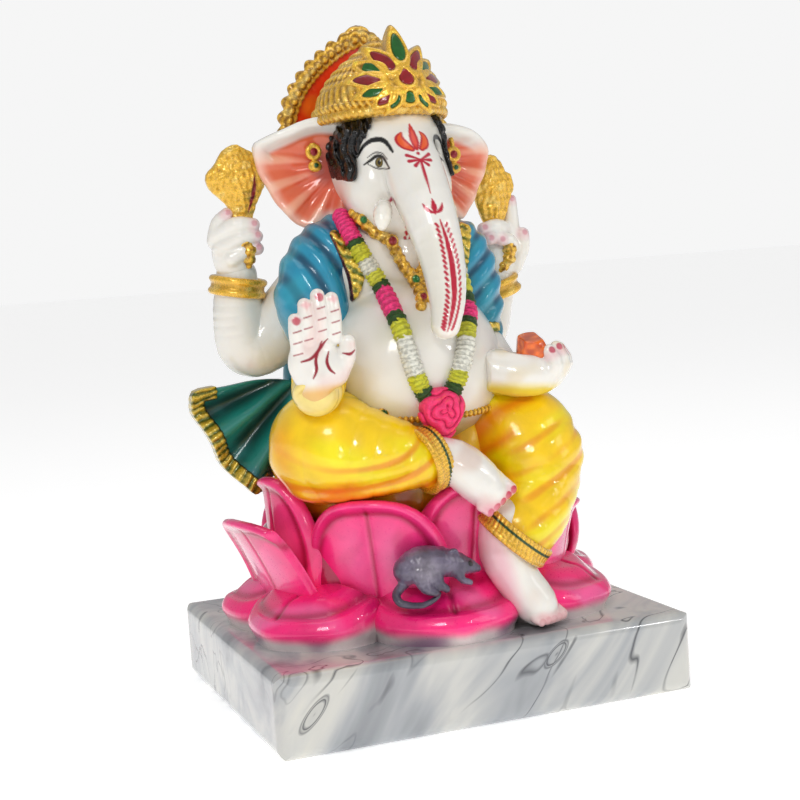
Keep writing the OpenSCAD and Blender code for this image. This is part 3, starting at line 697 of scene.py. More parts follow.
def hanging_paint(p, n):
    c = mix(rgb("FFD600"), rgb("FFEE00"), soft(-0.4, 0.8, ripple(p, 18, 4)))
    # Painted shade: orange in the fold valleys.
    c = tint(c, "F29A08", 0.7 * soft(-0.1, -0.9, hanging_fold(p)))
    for rows in KNEE_SHADES:
        c = tint(c, "EC6F0C", 0.75 * stroke(p, rows, 1.8) * soft(0.2, -0.2, n[:, 1]))
    return tint(c, "F08A0C", 0.6 * soft(15, 8, p[:, 0] + 2 * ripple(p, 9, 2)))


def ring_parts(p, centre, turn, radius):
    """Distance from a tilted ring's circle: outward, along its axis, and the angle round it."""
    (cx, cy, cz), (sx, sy, sz) = np.cos(np.radians(turn)), np.sin(np.radians(turn))
    about_x = np.array([[1, 0, 0], [0, cx, -sx], [0, sx, cx]])
    about_y = np.array([[cy, 0, sy], [0, 1, 0], [-sy, 0, cy]])
    about_z = np.array([[cz, -sz, 0], [sz, cz, 0], [0, 0, 1]])
    rot = about_z @ about_y @ about_x
    q = (p - np.asarray(centre, np.float32)) @ rot.astype(np.float32)
    r = np.sqrt(q[:, 0]**2 + q[:, 1]**2)
    return r - radius, q[:, 2], np.arctan2(q[:, 1], q[:, 0])


HEMS = [((16.5, -44.5, 56), (14, 40, 0), 11.8), ((-11, -44, 83), (10, 76, 20), 9.2)]


def hem_field(p):
    total = nowhere(p)
    for centre, turn, radius in HEMS:
        r, h, a = ring_parts(p, centre, turn, radius)
        wave = 0.16 * np.sin(a * 46 + h * 1.2)
        band = smax(np.abs(r) - 1.2 - wave, np.abs(h) - 2.9, 1.0)
        band = smin(band, np.sqrt((r - 0.6)**2 + (h + 2.6)**2) - 1.1, 0.5)
        total = np.minimum(total, band)
    return total


def hem_paint(p, n):
    c = np.tile(GOLD, (len(p), 1))
    for centre, turn, radius in HEMS:
        r, h, a = ring_parts(p, centre, turn, radius)
        on = np.abs(r) < 4
        # Painted shade: dark gold in the valleys of the hems' waves.
        c = mix(c, GOLD_LOW, 0.45 * on * soft(-0.2, -1, np.sin(a * 46 + h * 1.2)))
        c = tint(c, "1C4A1E", on * soft(0.55, 0.3, np.abs(h - 0.9)))
    return c


BELT_HIGH = 98
BELT_BEADS = 110


def belt_angle(p):
    return np.arctan2((p[:, 1] + 8) / 31, (p[:, 0] + 4) / 32)


def belt_field(p):
    ang = belt_angle(p)
    x, y = -4 + 32 * np.cos(ang), -8 + 31 * np.sin(ang)
    z = BELT_HIGH + 3 * np.sin(ang)
    d = np.sqrt(((p[:, 0] - x)**2 + (p[:, 1] - y)**2) + (p[:, 2] - z)**2)
    d = d - 1.1 - 0.25 * np.sin(ang * BELT_BEADS)
    stone = ball(p, (-22, -34.6, 97.5), (2.4, 1.6, 1.9))
    return np.minimum(d, stone)


def belt_paint(p, n):
    # Painted shade: dark gold between the beads.
    c = mix(GOLD_LOW, GOLD, soft(-0.9, 0.3, np.sin(belt_angle(p) * BELT_BEADS)))
    return tint(c, "1E5A22", soft(1.5, 1.2, away(p, (-22, -36, 97.5))))


def foot_field(rows, toes):
    def field(p):
        d = tube(p, rows)
        for toe in toes:
            d = smin(d, tube(p, toe, 3), 1.2)
        return d
    return field


def toe_rows(first, last, way, radius, count=5):
    """Toes side by side from the big one to the small one."""
    first, last, way = (np.array(v, float) for v in (first, last, way))
    rows = []
    for i in range(count):
        base = first + (last - first) * i / (count - 1)
        r = radius * (1 - 0.11 * i)
        rows.append([(*base, r), (*(base + way * (1 - 0.09 * i)), r * 0.86)])
    return rows


FOLDED_TOES = toe_rows((8.5, -51, 75), (1.5, -53.5, 67.5), (3.8, -0.8, -3.2), 2.6)
HANGING_TOES = toe_rows((26, -48.5, 31), (17.8, -53.5, 29.6), (1.8, -2.2, -1.6), 2.6)
FOLDED_FOOT = [(-15, -43.5, 84, 6.6), (-4, -47, 81.5, 7.2), (2.5, -49.5, 75.5, 7.2), (5, -50.5, 72, 6.2)]
HANGING_FOOT = [(13.5, -43.5, 60, 8.2), (11.5, -46, 51, 8), (15, -47, 42, 7.2), (20, -48.5, 34, 7),
                (22, -50, 31, 4.6)]


def nail_place(toe):
    """Middle of a toe's nail: a little beyond the tip, on its front."""
    tip = np.array(toe[1][:3], np.float32)
    way = tip - np.array(toe[0][:3], np.float32)
    radius = toe[1][3]
    ahead = way / np.linalg.norm(way) * radius * 0.35
    return tip + ahead + np.array((0, -radius * 0.8, 0.4), np.float32)


def foot_paint(toes, warm, varnish=1.0):
    """Warm skin with painted nails; warm gives how far each place goes to pink."""
    def paint(p, n):
        c = mix(WHITE, rgb("EBDCD2"), soft(0, 1, ripple(p, 16, 3)))
        for toe in toes:
            nail = nail_place(toe)
            c = tint(c, "F0B9BC", 0.5 * soft(4.5, 1.5, away(p, toe[1][:3])))
            c = tint(c, "CF2A50", varnish * soft(1.45, 1.15, away(p, nail, (1, 0.6, 1))))
        return tint(c, "F2A8BC", warm(p))
    return paint


def folded_warmth(p):
    return 0.5 * soft(74, 66, p[:, 2] + 0.4 * p[:, 0])


def hanging_warmth(p):
    return 0.6 * soft(14, 8, p[:, 0] + 0.2 * (p[:, 2] - 45))


def build_body():
    sculpt("torso", torso_field, torso_paint, SKIN, 0.6)
    sculpt("cape", cape_field, cape_paint, CLOTH, 0.7)
    sculpt("seat_cloth", seat_field, seat_paint, CLOTH, 0.8)
    sculpt("folded_leg", folded_field, folded_paint, CLOTH, 0.5)
    sculpt("hanging_leg", hanging_field, hanging_paint, CLOTH, 0.5)
    sculpt("leg_hems", hem_field, hem_paint, GILT, 0.35)
    sculpt("belt", belt_field, belt_paint, GILT, 0.4, 2)
    folded_skin = foot_paint(FOLDED_TOES, folded_warmth)
    hanging_skin = foot_paint(HANGING_TOES, hanging_warmth, 0.25)
    sculpt("folded_foot", foot_field(FOLDED_FOOT, FOLDED_TOES), folded_skin, SKIN, 0.35)
    sculpt("hanging_foot", foot_field(HANGING_FOOT, HANGING_TOES), hanging_skin, SKIN, 0.35)


# ---------------------------------------------------------------- head and trunk

TRUNK = [(-4.5, -23, 182, 9.0), (-4.5, -32, 170, 9.4), (-4.0, -41.5, 156.5, 8.2), (-2.9, -46, 143.5, 6.9),
         (-3.0, -48, 132.5, 5.7), (-4.6, -49, 124.5, 4.6)]


def head_shape(p):
    """The head without its trunk, for what lies on it."""
    q = mirrored(p)
    d = ball(p, (FACE_X - 0.5, -4, 177), (18.5, 21, 22))
    d = smin(d, ball(p, (FACE_X, -14, 183.5), (15.5, 15, 13)), 5)
    d = smin(d, ball(q, (FACE_X + 8.8, -15, 168.5), (9.2, 11, 11.5)), 4)
    return smin(d, ball(p, (FACE_X, -12, 160), (12.5, 14, 11)), 6)


def head_field(p):
    return smin(head_shape(p), tube(p, TRUNK, 17), 3.5)


def cheek_plane(p):
    """The face seen squarely from beside one eye: how far toward the trunk, and height."""
    x = -np.abs(p[:, 0] - FACE_X)
    return np.stack([0.819 * x - 0.574 * p[:, 1], 0 * x, p[:, 2]], 1)


def painted(c, p, strokes, code, mask=1.0, grow=0.0):
    """Brush strokes laid over the colours so far; grow widens or narrows all of them."""
    for rows in strokes:
        rows = [(x, z, max(w + grow, 0.05)) for x, z, w in rows]
        c = tint(c, code, stroke(p, rows) * mask)
    return c


SPEAR = [[(-5.0, 187.2, 0.2), (-5.1, 184.4, 1.8), (-5.3, 181.8, 2.4), (-5.5, 179.2, 0.9)]]
FLAMES = [[(-5.4 + s * 3.0, 184.6, 0.3), (-5.4 + s * 3.9, 182.8, 2.1), (-5.4 + s * 3.3, 180.8, 2.7),
           (-5.4 + s * 1.6, 179.2, 1.5)] for s in (-1, 1)]
RAYS = [[(-5.5, 175.6, 0.4), (-5.5 + 3.6 * math.cos(a), 176.4 + 3.2 * math.sin(a), 1.1)]
        for a in (math.radians(d) for d in (165, 200, 235, 305, -20, 15))]
BROW_LINE = [[(-5.5, 175.4, 0.9), (-5.6, 170.5, 0.9), (-5.6, 165, 0.3)]]
LEAF = [[(-5.6, 158.4, 0.4), (-5.6, 160.6, 1.7), (-5.6, 163.2, 0.3)],
        [(-5.6, 158.6, 0.3), (-7.6, 159.8, 1.2), (-8.6, 161.8, 0.3)],
        [(-5.6, 158.6, 0.3), (-3.6, 159.8, 1.2), (-2.6, 161.8, 0.3)]]
STRIPE = [(-4.6, 156.6, 0.4), (-3.3, 149, 1.4), (-2.7, 141.7, 1.9), (-2.9, 133.5, 1.7), (-4.3, 127.2, 1.2),
          (-5.8, 122.6, 0.3)]


def stripe_dashes():
    """Short slanted dashes down both sides of the trunk's stripe."""
    line = spline(STRIPE, 24)
    dashes = []
    for i in range(1, 23):
        x, z, w = line[i]
        for side in (-1, 1):
            near = x + side * (w / 2 + 0.9)
            dashes.append([(near, z - 0.4, 0.8), (near + side * 0.6, z + 0.5, 0.85)])
    return dashes


DASHES = stripe_dashes()
STRIPE_TOP = 158
DOT = [[(-5.6, 177.6, 1.0), (-5.6, 177.7, 1.0)]]


def skin_paint(p, n):
    return mix(WHITE, rgb("ECE9DF"), soft(0, 1, ripple(p, 20, 11)))


def head_paint(p, n):
    c = skin_paint(p, n)
    front = soft(0.25, 0.0, n[:, 1])
    c = painted(c, p, FLAMES + SPEAR, "C8102A", front, 0.35)
    c = painted(c, p, FLAMES, "F2661C", front, -0.9)
    c = painted(c, p, SPEAR, "E8421C", front, -1.0)
    c = painted(c, p, RAYS + BROW_LINE + LEAF + [STRIPE] + DOT, "C2103A", front)
    low = p[:, 2] < STRIPE_TOP
    c[low] = painted(c[low], p[low], DASHES, "C2103A", front[low])
    return paint_eyes(c, cheek_plane(p), soft(0.3, 0.1, n[:, 1]))


EYE = (7.0, 176.0)


EYE_WHITE = [[(-3.6, -0.2, 1.0), (-1.2, 0.5, 3.0), (1.2, -0.1, 2.8), (3.8, -2.0, 0.6)]]
IRIS_RIM = [[(0, 0.1, 3.1), (0, 0, 3.1)]]
IRIS = [[(0, 0.1, 2.5), (0, 0, 2.5)]]
PUPIL = [[(0, 0, 1.35), (0, 0.1, 1.35)]]
GLINT = [[(0.5, 0.6, 0.45), (0.55, 0.65, 0.45)]]
LIDS = [[(-5.4, -0.3, 0.4), (-3.4, 0.8, 0.9), (-0.8, 2.1, 1.1), (1.8, 1.3, 1.0), (4.4, -2.2, 0.6)],
        [(-4.0, -0.2, 0.25), (-1.4, -1.6, 0.4), (1.4, -2.1, 0.4), (4.4, -2.4, 0.4)],
        [(-4.2, 1.9, 0.2), (-1.4, 3.2, 0.4), (1.4, 2.7, 0.35), (3.6, 0.6, 0.2)]]
BROW = [[(-7.8, 2.2, 0.5), (-5.4, 5.4, 1.1), (-1.8, 7.2, 1.5), (2.2, 6.6, 1.5), (5.6, 2.8, 0.8)]]
MOUTH_CORNER = [[(1.8, -12.6, 0.6), (3.4, -11.4, 1.3), (5.2, -12.8, 1.6), (5.8, -15.4, 0.9)]]
EYE_LAYERS = [(EYE_WHITE, "F7F5EE"), (IRIS_RIM, "3E3416"), (IRIS, "857233"), (PUPIL, "0A0A08"),
              (GLINT, "F5F5F0"), (LIDS, "17130E"), (BROW, "0B0B0C"), (MOUTH_CORNER, "C23A60")]


def paint_eyes(c, q, side):
    """Eyes, brows and the mouth's rosy corners, the same on both sides of the face."""
    x, z = EYE
    for strokes, code in EYE_LAYERS:
        moved = [[(x + dx, z + dz, w) for dx, dz, w in rows] for rows in strokes]
        c = painted(c, q, moved, code, side)
    return c


def build_head():
    """The head and trunk are one smooth surface, parted by a sloping plane at the trunk's root."""
    lo, hi = box("head", 5)
    low, high = box("trunk", 5)
    lo, hi = np.minimum(lo, low), np.maximum(hi, high)
    step = 0.36 * COARSE
    p, quads = surface(head_field, lo, hi, step)
    p = settle(head_field, p, step)
    whole = mesh_object("whole_head", p, quads)
    normals = normals_of(whole)
    colours = head_paint(p, normals)
    middle = p[quads].mean(1)
    root, way = np.array((FACE_X, -31, 171), np.float32), np.array((0, -0.8, -0.6), np.float32)
    beyond = (middle - root) @ way > 0
    low_enough = np.abs(middle[:, 0] - FACE_X) < 15
    is_trunk = beyond & low_enough & (middle[:, 1] < -27)
    for node, mask in (("head", ~is_trunk), ("trunk", is_trunk)):
        used, faces = np.unique(quads[mask], return_inverse=True)
        obj = mesh_object(node + "_look", p[used], faces.reshape(-1, 4))
        obj.data.normals_split_custom_set_from_vertices(normals[used])
        dress(obj, node, SKIN, colours[used])
    bpy.data.objects.remove(whole)


HAIR_EDGE = [(8.6, 198), (9.6, 191), (12.4, 185.4), (14.7, 180), (15.6, 175), (16.4, 171.5),
             (17.8, 171), (19.4, 175), (20.8, 181), (22.5, 188), (21.5, 196), (14, 199)]


def hair_field(p):
    q = mirrored(p)
    d = head_shape(p) - 1.0
    lock = outline(q[:, 0] - FACE_X, q[:, 2], HAIR_EDGE)
    curl = (q[:, 0] - FACE_X) * 2.2 + 2.4 * np.sin(q[:, 2] / 2.1) + q[:, 1] * 0.8
    strand = -0.35 * np.sin(curl) - 0.35 * ripple(q, 3, 6)
    return smax(smax(smax(d + strand, lock, 1.0), -(head_shape(p) + 1.5), 0.3), q[:, 1] + 3, 1)


# ---------------------------------------------------------------- ears

EAR_SHAPE = {-1: [(13, 190), (20, 192.6), (27, 192), (34, 189.4), (40, 187), (43.2, 184.6), (42.4, 178),
                  (39.6, 171), (35.4, 163.6), (30.4, 158.4), (25.6, 157), (18, 159.5), (11, 165), (9, 178)],
             1: [(13, 187), (20, 188.8), (27, 188), (33, 186), (38, 182.6), (39.6, 177.6), (37, 171),
                 (33.4, 164.6), (30, 159.4), (26, 156.6), (19, 158.5), (11, 164), (9, 177)]}


def ear_parts(p, side):
    """Edge distance, distance and angle from the ear's root, distance behind its sheet, how far it is in
    the rolled top, and the ribs."""
    e = side * (p[:, 0] - FACE_X)
    z = p[:, 2]
    edge = outline(e, z, EAR_SHAPE[side])
    far = np.sqrt((e - 14)**2 + (z - 178)**2)
    turn = np.arctan2(z - 178, e - 14)
    top = soft(0.0, 0.5, turn)
    roll = soft(-6.5, -2.0, edge) * top
    rib = np.sin(turn * 17) * soft(6, 16, far) * (1 - top)
    bowl = 2.6 * soft(0, -12, edge)
    mid = p[:, 1] - (-4 + 0.24 * (e - 18) + bowl - 2.4 * roll - 0.55 * rib)
    return edge, far, turn, mid, top, rib


def ear_field(side):
    def field(p):
        edge, far, _, mid, top, _ = ear_parts(p, side)
        thick = 1.5 + 1.3 * soft(-7, -2, edge) * top + 0.6 * soft(20, 8, far)
        return smax(edge, np.abs(mid) - thick, 1.6) * 0.85
    return field


def ear_paint(side):
    def paint(p, n):
        edge, far, turn, mid, top, rib = ear_parts(p, side)
        # Painted shade and highlight: darker between the ribs, lighter on their crests.
        c = mix(rgb("EC7A52"), rgb("FBBE9E"), soft(-0.1, 1.0, rib) * 0.85)
        c = tint(c, "FAD6C4", 0.6 * soft(-4, -0.5, edge))
        c = tint(c, "E05A38", 0.7 * soft(24, 10, far + 2 * ripple(p, 9, 12)) * (1 - top))
        # Painted shade: dark red close to the root, where the ear meets the head.
        c = tint(c, "9E2A1E", 0.85 * soft(12, 3, far + 1.5 * ripple(p, 9, 12)))
        rim = soft(-6.2, -4.4, edge) * soft(-0.05, 0.3, turn)
        c = mix(c, WHITE, np.maximum(rim, soft(-0.3, 0.4, mid)))
        lobe = soft(164, 159, p[:, 2]) * soft(28, 20, side * (p[:, 0] - FACE_X))
        return mix(c, WHITE, lobe)
    return paint


DROPS = {-1: (-28.9, -4.2, 181.6), 1: (19.9, -4.6, 178.6)}


def earring_field(p):
    total = nowhere(p)
    for side, (x, y, z) in DROPS.items():
        hook = [(x - 1.6 * side, y + 2, z + 8.5, 1.0), (x - 0.6, y - 0.4, z + 5, 0.8), (x, y, z + 2, 0.8)]
        chain = tube(p, hook)
        r, h, _ = ring_parts(p, (x, y, z), (90, 0, 0), 1.9)
        ring = np.sqrt(r * r + h * h) - 0.85
        stud = ball(p, (x, y, z), (1.5, 1.0, 1.6))
        drop = ball(p, (x + 0.2, y, z - 4.6), (2.3, 1.4, 1.9))
        stone = ball(p, (x + 0.2, y - 1.2, z - 4.4), (1.0, 0.7, 0.8))
        parts = [chain, ring, stud, drop, stone]
        for part in parts:
            total = smin(total, part, 0.3)
    return total


def earring_paint(p, n):
    c = mix(GOLD, GOLD_LOW, 0.5 * soft(-0.2, 1, ripple(p, 2.4, 1)))
    for x, y, z in DROPS.values():
        c = tint(c, "9A1022", soft(1.5, 1.2, away(p, (x, y, z), FLAT)))
        c = tint(c, "155A2A", soft(1.1, 0.8, away(p, (x + 0.2, y, z - 4.4), FLAT)))
    return c


# ---------------------------------------------------------------- crown and halo

CROWN = (-6.0, -6.0)
CAP_LINE = [(186, 18.6), (190, 20.4), (194, 20.8), (199, 19.6), (204, 16.6), (208.5, 12.2),
            (212, 7.5), (215, 3.8), (218, 0.5)]
CAP_DEEP = 1.12


def cap_parts(p):
    """Distance outside the dome, height, and angle round it."""
    x, y, z = p[:, 0] - CROWN[0], (p[:, 1] - CROWN[1]) / CAP_DEEP, p[:, 2]
    line = spline(CAP_LINE, 48)
    z = z + 0.05 * y
    r = np.sqrt(x * x + y * y)
    radius = np.interp(z, line[:, 0], line[:, 1])
    slope = np.interp(z, line[:, 0], np.abs(np.gradient(line[:, 1], line[:, 0])))
    return (r - radius) / np.sqrt(1 + slope**2), z, np.arctan2(y, x)


def cap_ribs(z, a):
    """Upright pleats low down, lozenge scrolls above them."""
    lean = a + 0.012 * (z - 190)
    low = np.sin(lean * 46) * (0.7 + 0.3 * np.sin(z * 2.2 + 3 * np.sin(a * 8))) * soft(203, 199, z)
    high = np.sin(a * 24 + z * 1.1) * np.sin(a * 24 - z * 1.3) * 1.6 * soft(199, 203, z)
    return low + 0.8 * high


def cap_field(p):
    d, z, a = cap_parts(p)
    return smax(smax(d - 0.33 * cap_ribs(z, a), 189.5 - z, 0.5), z - 218, 0.5) * 0.9


def gilded(relief, lo=-0.9, hi=0.5):
    def paint(p, n):
        # Painted shade: the relief's low places go to dark gold; where the relief is only noise this is
        # random tone.
        c = mix(GOLD_LOW, GOLD, soft(lo, hi, relief(p)))
        return tint(c, "FBE48E", 0.4 * soft(0.2, 1, ripple(p, 5, 2)))
    return paint


def cap_relief(p):
    _, z, a = cap_parts(p)
    return cap_ribs(z, a)


def band_parts(p):
    """Distance outside the band, height from its middle, and its rope pattern."""
    x, y = p[:, 0] - CROWN[0], (p[:, 1] - CROWN[1]) / CAP_DEEP
    a = np.arctan2(y, x)
    z = p[:, 2] + 0.05 * y - 192.4
    rope = np.sin(a * 60 + z * 1.4)
    return np.sqrt(x * x + y * y) - 20.6, z, rope


def band_relief(p):
    _, z, rope = band_parts(p)
    return rope * soft(0, 2, z)


def band_field(p):
    r, z, rope = band_parts(p)
    low = np.sqrt((r * 1.1)**2 + (z + 1.2)**2) - 1.6 - 0.16 * rope
    high = np.sqrt(r**2 + (z - 1.6)**2) - 1.2 - 0.3 * rope
    return smin(low, high, 0.5)


CREST_Y = -31.0
PETAL_GEMS = [(5.6, 208.0, 4.2, 2.1, "8E0A18"), (9.6, 206.0, 3.1, 1.7, "12661E"),
              (11.4, 202.0, 3.6, 1.9, "8E0A18"), (10.8, 197.8, 3.3, 1.45, "12661E"),
              (8.0, 195.2, 2.6, 1.4, "8E0A18"), (4.9, 194.4, 2.6, 1.25, "12661E")]
GEM_RIM = 0.55


def crest_sheet(x, z):
    """How far forward the crest's face is at each place seen from the front."""
    line = spline(CAP_LINE, 48)
    radius = np.interp(z, line[:, 0], line[:, 1])
    dome = CROWN[1] - CAP_DEEP * np.sqrt(np.maximum(radius**2 - (x - CROWN[0] - 0.8)**2, 4))
    return np.minimum(dome - 2.0, CREST_Y + 0.60 * np.maximum(z - 199, 0) + 0.055 * (x - FACE_X)**2)


def crest_gems():
    """Every inlay as centre, half lengths, turn and colour."""
    gems = [(FACE_X, 202.2, 2.7, 2.4, 90, "9A0C1A"), (FACE_X, 195.6, 1.9, 1.9, 90, "166A20"),
            (FACE_X, 212.2, 4.8, 2.2, 90, "12661E")]
    for side in (-1, 1):
        for dx, z, long, wide, code in PETAL_GEMS:
            turn = math.degrees(math.atan2(z - 201.2, side * dx))
            gems.append((FACE_X + side * dx, z, long, wide, turn, code))
    return gems


CREST_GEMS = crest_gems()


def gem_plane(p, gem):
    """Ellipse distance of one inlay in its own plane."""
    x, z, long, wide, turn, _ = gem
    c, s = math.cos(math.radians(turn)), math.sin(math.radians(turn))
    u = (p[:, 0] - x) * c + (p[:, 2] - z) * s
    v = -(p[:, 0] - x) * s + (p[:, 2] - z) * c
    k = 1 - 0.28 * u / long
    return (np.sqrt((u / long)**2 + (v / (wide * np.maximum(k, 0.3)))**2) - 1) * wide


def gem_rims(p):
    """Distance from the nearest inlay's raised rim."""
    rims = nowhere(p)
    for gem in CREST_GEMS:
        rims = np.minimum(rims, np.abs(gem_plane(p, gem) - GEM_RIM))
    return rims


def crest_field(p):
    plan = ball(np.stack([p[:, 0], p[:, 2], 0 * p[:, 0]], 1), (FACE_X, 201.5, 0), (8.6, 7.5, 50))
    for gem in CREST_GEMS:
        plan = smin(plan, gem_plane(p, gem) - 1.3, 0.5)
    face = p[:, 1] - crest_sheet(p[:, 0], p[:, 2])
    front = face + 0.9 * soft(0.9, 0.2, gem_rims(p))
    return smax(plan, np.maximum(-front, face - 4.5), 0.8) * 0.8


def crest_paint(p, n):
    shine = soft(1.3, 0.4, gem_rims(p)) + 0.5 * soft(0, 1, ripple(p, 3, 4))
    return mix(rgb("A2761C"), GOLD, shine)


def gems_field(p):
    inlay = nowhere(p)
    for gem in CREST_GEMS:
        inlay = np.minimum(inlay, gem_plane(p, gem))
    face = p[:, 1] - crest_sheet(p[:, 0], p[:, 2])
    return smax(inlay, np.maximum(-face - 0.75, face - 0.8), 0.8) * 0.8


def gems_paint(p, n):
    c = np.tile(rgb("8C0E1E"), (len(p), 1))
    best = nowhere(p)
    for gem in CREST_GEMS:
        g = gem_plane(p, gem)
        nearer = g < best
        c[nearer] = rgb(gem[5])
        best = np.minimum(best, g)
    # Painted shade: each inlay darker toward its edge, under the raised rim.
    return mix(c, c * 0.6, soft(-0.5, 0.1, best))


def arch(e):
    """Half outline of the pointed arch, set in by e, from its foot to its point."""
    return [(27 - e, 176), (28.6 - e, 189), (27.2 - e, 196.5), (23.6 - e, 203.4), (17.8 - e, 210.0),
            (10.8 - 0.8 * e, 216 - 0.6 * e), (4.6 - 0.4 * e, 219.8 - e), (0, 221.4 - 1.3 * e)]


HALO_X, HALO_Y = -4.6, 14.0


def halo_outline(p, e):
    half = arch(e)
    return outline(p[:, 0] - HALO_X, p[:, 2], half + [(-x, z) for x, z in half[-2::-1]], 44)


def halo_panel_field(p):
    edge = halo_outline(p, 2.6)
    bowl = 1.2 * soft(0, -14, edge)
    wave = 0.25 * np.sin(edge * 1.5)
    return smax(edge, np.abs(p[:, 1] - HALO_Y - 1.5 - bowl) - 1.8 + 0.12 * wave, 0.8)


def halo_panel_paint(p, n):
    edge = halo_outline(p, 2.6)
    c = mix(rgb("FA3C04"), rgb("FC7A1A"), soft(-0.2, 1, ripple(p, 11, 8)))
    # Painted shade: darker orange along the edge, under the gilt rim.
    return tint(c, "B8380E", 0.6 * soft(-3.2, -0.5, edge))


def halo_rim_parts(p):
    """Distance from the rim's middle line, and the angle round the arch."""
    edge = halo_outline(p, 1.6)
    a = np.arctan2(p[:, 2] - 192, p[:, 0] - HALO_X)
    return edge, a


def halo_rim_field(p):
    edge, a = halo_rim_parts(p)
    y = p[:, 1] - HALO_Y
    bead = np.abs(np.sin(a * 17))
    body = np.sqrt(edge**2 + (y * 0.8)**2) - 1.9
    outer = np.sqrt((edge - 1.5 - 0.9 * bead)**2 + (y * 1.1)**2) - 0.7 - 0.9 * bead
    inner = np.sqrt((edge + 1.9)**2 + (y + 0.8)**2) - 0.8 - 0.2 * np.sin(a * 62)
    knob = ball(p, (HALO_X, HALO_Y, 220.5), (4.4, 2.8, 4.0))
    scroll = halo_rim_relief(p) * 0.4
    d = smin(smin(smin(body - 0.6 * scroll, outer, 0.6), inner, 0.3), knob - 0.5 * scroll, 0.8)
    return smax(d, 178 - p[:, 2], 0.6) * 0.85


def halo_rim_relief(p):
    edge, a = halo_rim_parts(p)
    curl = np.sqrt(((a * 28) % 3.4 - 1.7)**2 + edge**2)
    return np.sin(curl * 3.4) + 0.4 * ripple(p, 2.2, 6)


def build_crown():
    sculpt("crown_cap", cap_field, gilded(cap_relief), GILT, 0.36)
    sculpt("crown_band", band_field, gilded(band_relief), GILT, 0.36)
    sculpt("crown_crest", crest_field, crest_paint, GILT, 0.3, 6)
    sculpt("crown_gems", gems_field, gems_paint, GEM, 0.28, 6)
    sculpt("halo_panel", halo_panel_field, halo_panel_paint, CLOTH, 0.5, 6)
    sculpt("halo_rim", halo_rim_field, gilded(halo_rim_relief), GILT, 0.38, 5)


# ---------------------------------------------------------------- clothes on the arms

SLEEVES = {-1: [(-15, -3, 155, 8), (-27.5, -5, 147, 12), (-33, -7, 135, 12.8), (-32, -9, 124.5, 11)],
           1: [(7, -3, 153, 8), (17.5, -6, 146, 11), (20.5, -9, 132, 11), (20, -12, 118.5, 9.5)]}


def sleeve_fold(p, side):
    if side < 0:
        way = p[:, 0] * 0.75 + p[:, 2] * 0.32 + 1.2 * np.sin(p[:, 2] / 8)
    else:
        way = p[:, 2] * 0.8 - p[:, 0] * 0.5 + 1.0 * np.sin(p[:, 0] / 6)
    return np.sin(way * 2 * math.pi / 6.5)


def sleeve_field(side):
    def field(p):
        return tube(p, SLEEVES[side]) - 0.5 * sleeve_fold(p, side)
    return field


def sleeve_paint(side):
    def paint(p, n):
        # Painted shade and highlight: dark blue in the fold valleys, light blue on the crests.
        c = mix(rgb("075070"), rgb("249CBE"), soft(-1.2, 0.1, sleeve_fold(p, side)))
        c = tint(c, "3CB4C8", 0.5 * soft(0, 1, ripple(p, 14, 3)))
        return tint(c, "1B7E8E", 0.6 * soft(134, 122, p[:, 2]))
    return paint


LAPEL = [(-28.9, 154.4), (-27.8, 150), (-26.4, 145.5), (-25.2, 141), (-24.4, 136.4), (-24.0, 132.8),
         (-22.4, 134), (-20.6, 138), (-20.4, 143), (-21.6, 148.6), (-24, 153.4), (-26.6, 156)]
LAPEL_LINE = [[(x + 0.2, z, 0.7) for x, z in LAPEL[:6]]]


def dressed_body(p):
    return np.minimum(torso_field(p), np.minimum(tube(p, SLEEVES[-1]), tube(p, SLEEVES[1])))


def trim_crinkle(p):
    """Long creases and small crumples of the gilt borders, each with its own weight."""
    return np.sin(p[:, 2] * 1.9 + p[:, 0] * 1.2 + 1.5 * ripple(p, 5, 3)), ripple(p, 2.4, 8)


def sleeve_hem(p):
    """Height above the slanting mouth of the left sleeve."""
    return p[:, 2] - 125.5 + 0.9 * (p[:, 0] + 44)


def trim_field(p):
    """Crinkled gilt borders that lie on the chest and round the sleeves' mouths."""
    body = dressed_body(p)
    lapel = smin(outline(p[:, 0], p[:, 2], LAPEL), outline(-8.5 - p[:, 0], p[:, 2], LAPEL), 0.2)
    crease, crumple = trim_crinkle(p)
    crinkle = 0.25 * crease + 0.3 * crumple
    band = smax(smax(body - 1.1 - crinkle, lapel, 0.8), p[:, 1] + 5, 1)
    left, t = tube(p, SLEEVES[-1], along=True)
    right, s = tube(p, SLEEVES[1], along=True)
    cuff = smax(left - 0.9 - 0.5 * crinkle, np.abs(sleeve_hem(p) + 2.2) - 2.4, 0.5)
    cuff = smax(cuff, 0.7 - t, 0.5)
    other = smax(right - 0.9 - 0.5 * crinkle, (0.9 - s) * 30, 0.5)
    return smin(band, smin(cuff, other, 0.2), 0.2)


def trim_paint(p, n):
    crease, crumple = trim_crinkle(p)
    # Painted shade: olive in the hollows of the crinkles, gold on their crests.
    c = mix(rgb("6E7C24"), rgb("F0CE52"), soft(-1.3, 0.4, crease + 0.8 * crumple))
    c = painted(c, p, LAPEL_LINE, "5A1014")
    _, s = tube(p, SLEEVES[1], along=True)
    left_line = soft(0.9, 0.4, np.abs(sleeve_hem(p) + 0.4)) * (p[:, 0] < -28)
    right_line = soft(0.922, 0.91, s) * (s > 0.88)
    return tint(c, "14231C", np.maximum(left_line, right_line) * (p[:, 2] < 130))


TAIL_EDGE = [(-71.4, 106.3), (-72, 100.3), (-68.8, 93.5), (-66, 86.2), (-62.5, 79.8), (-57.7, 74.1),
             (-52.3, 70.5), (-42, 78.5), (-34, 96), (-34, 106), (-48.2, 108.6), (-61, 107.6)]


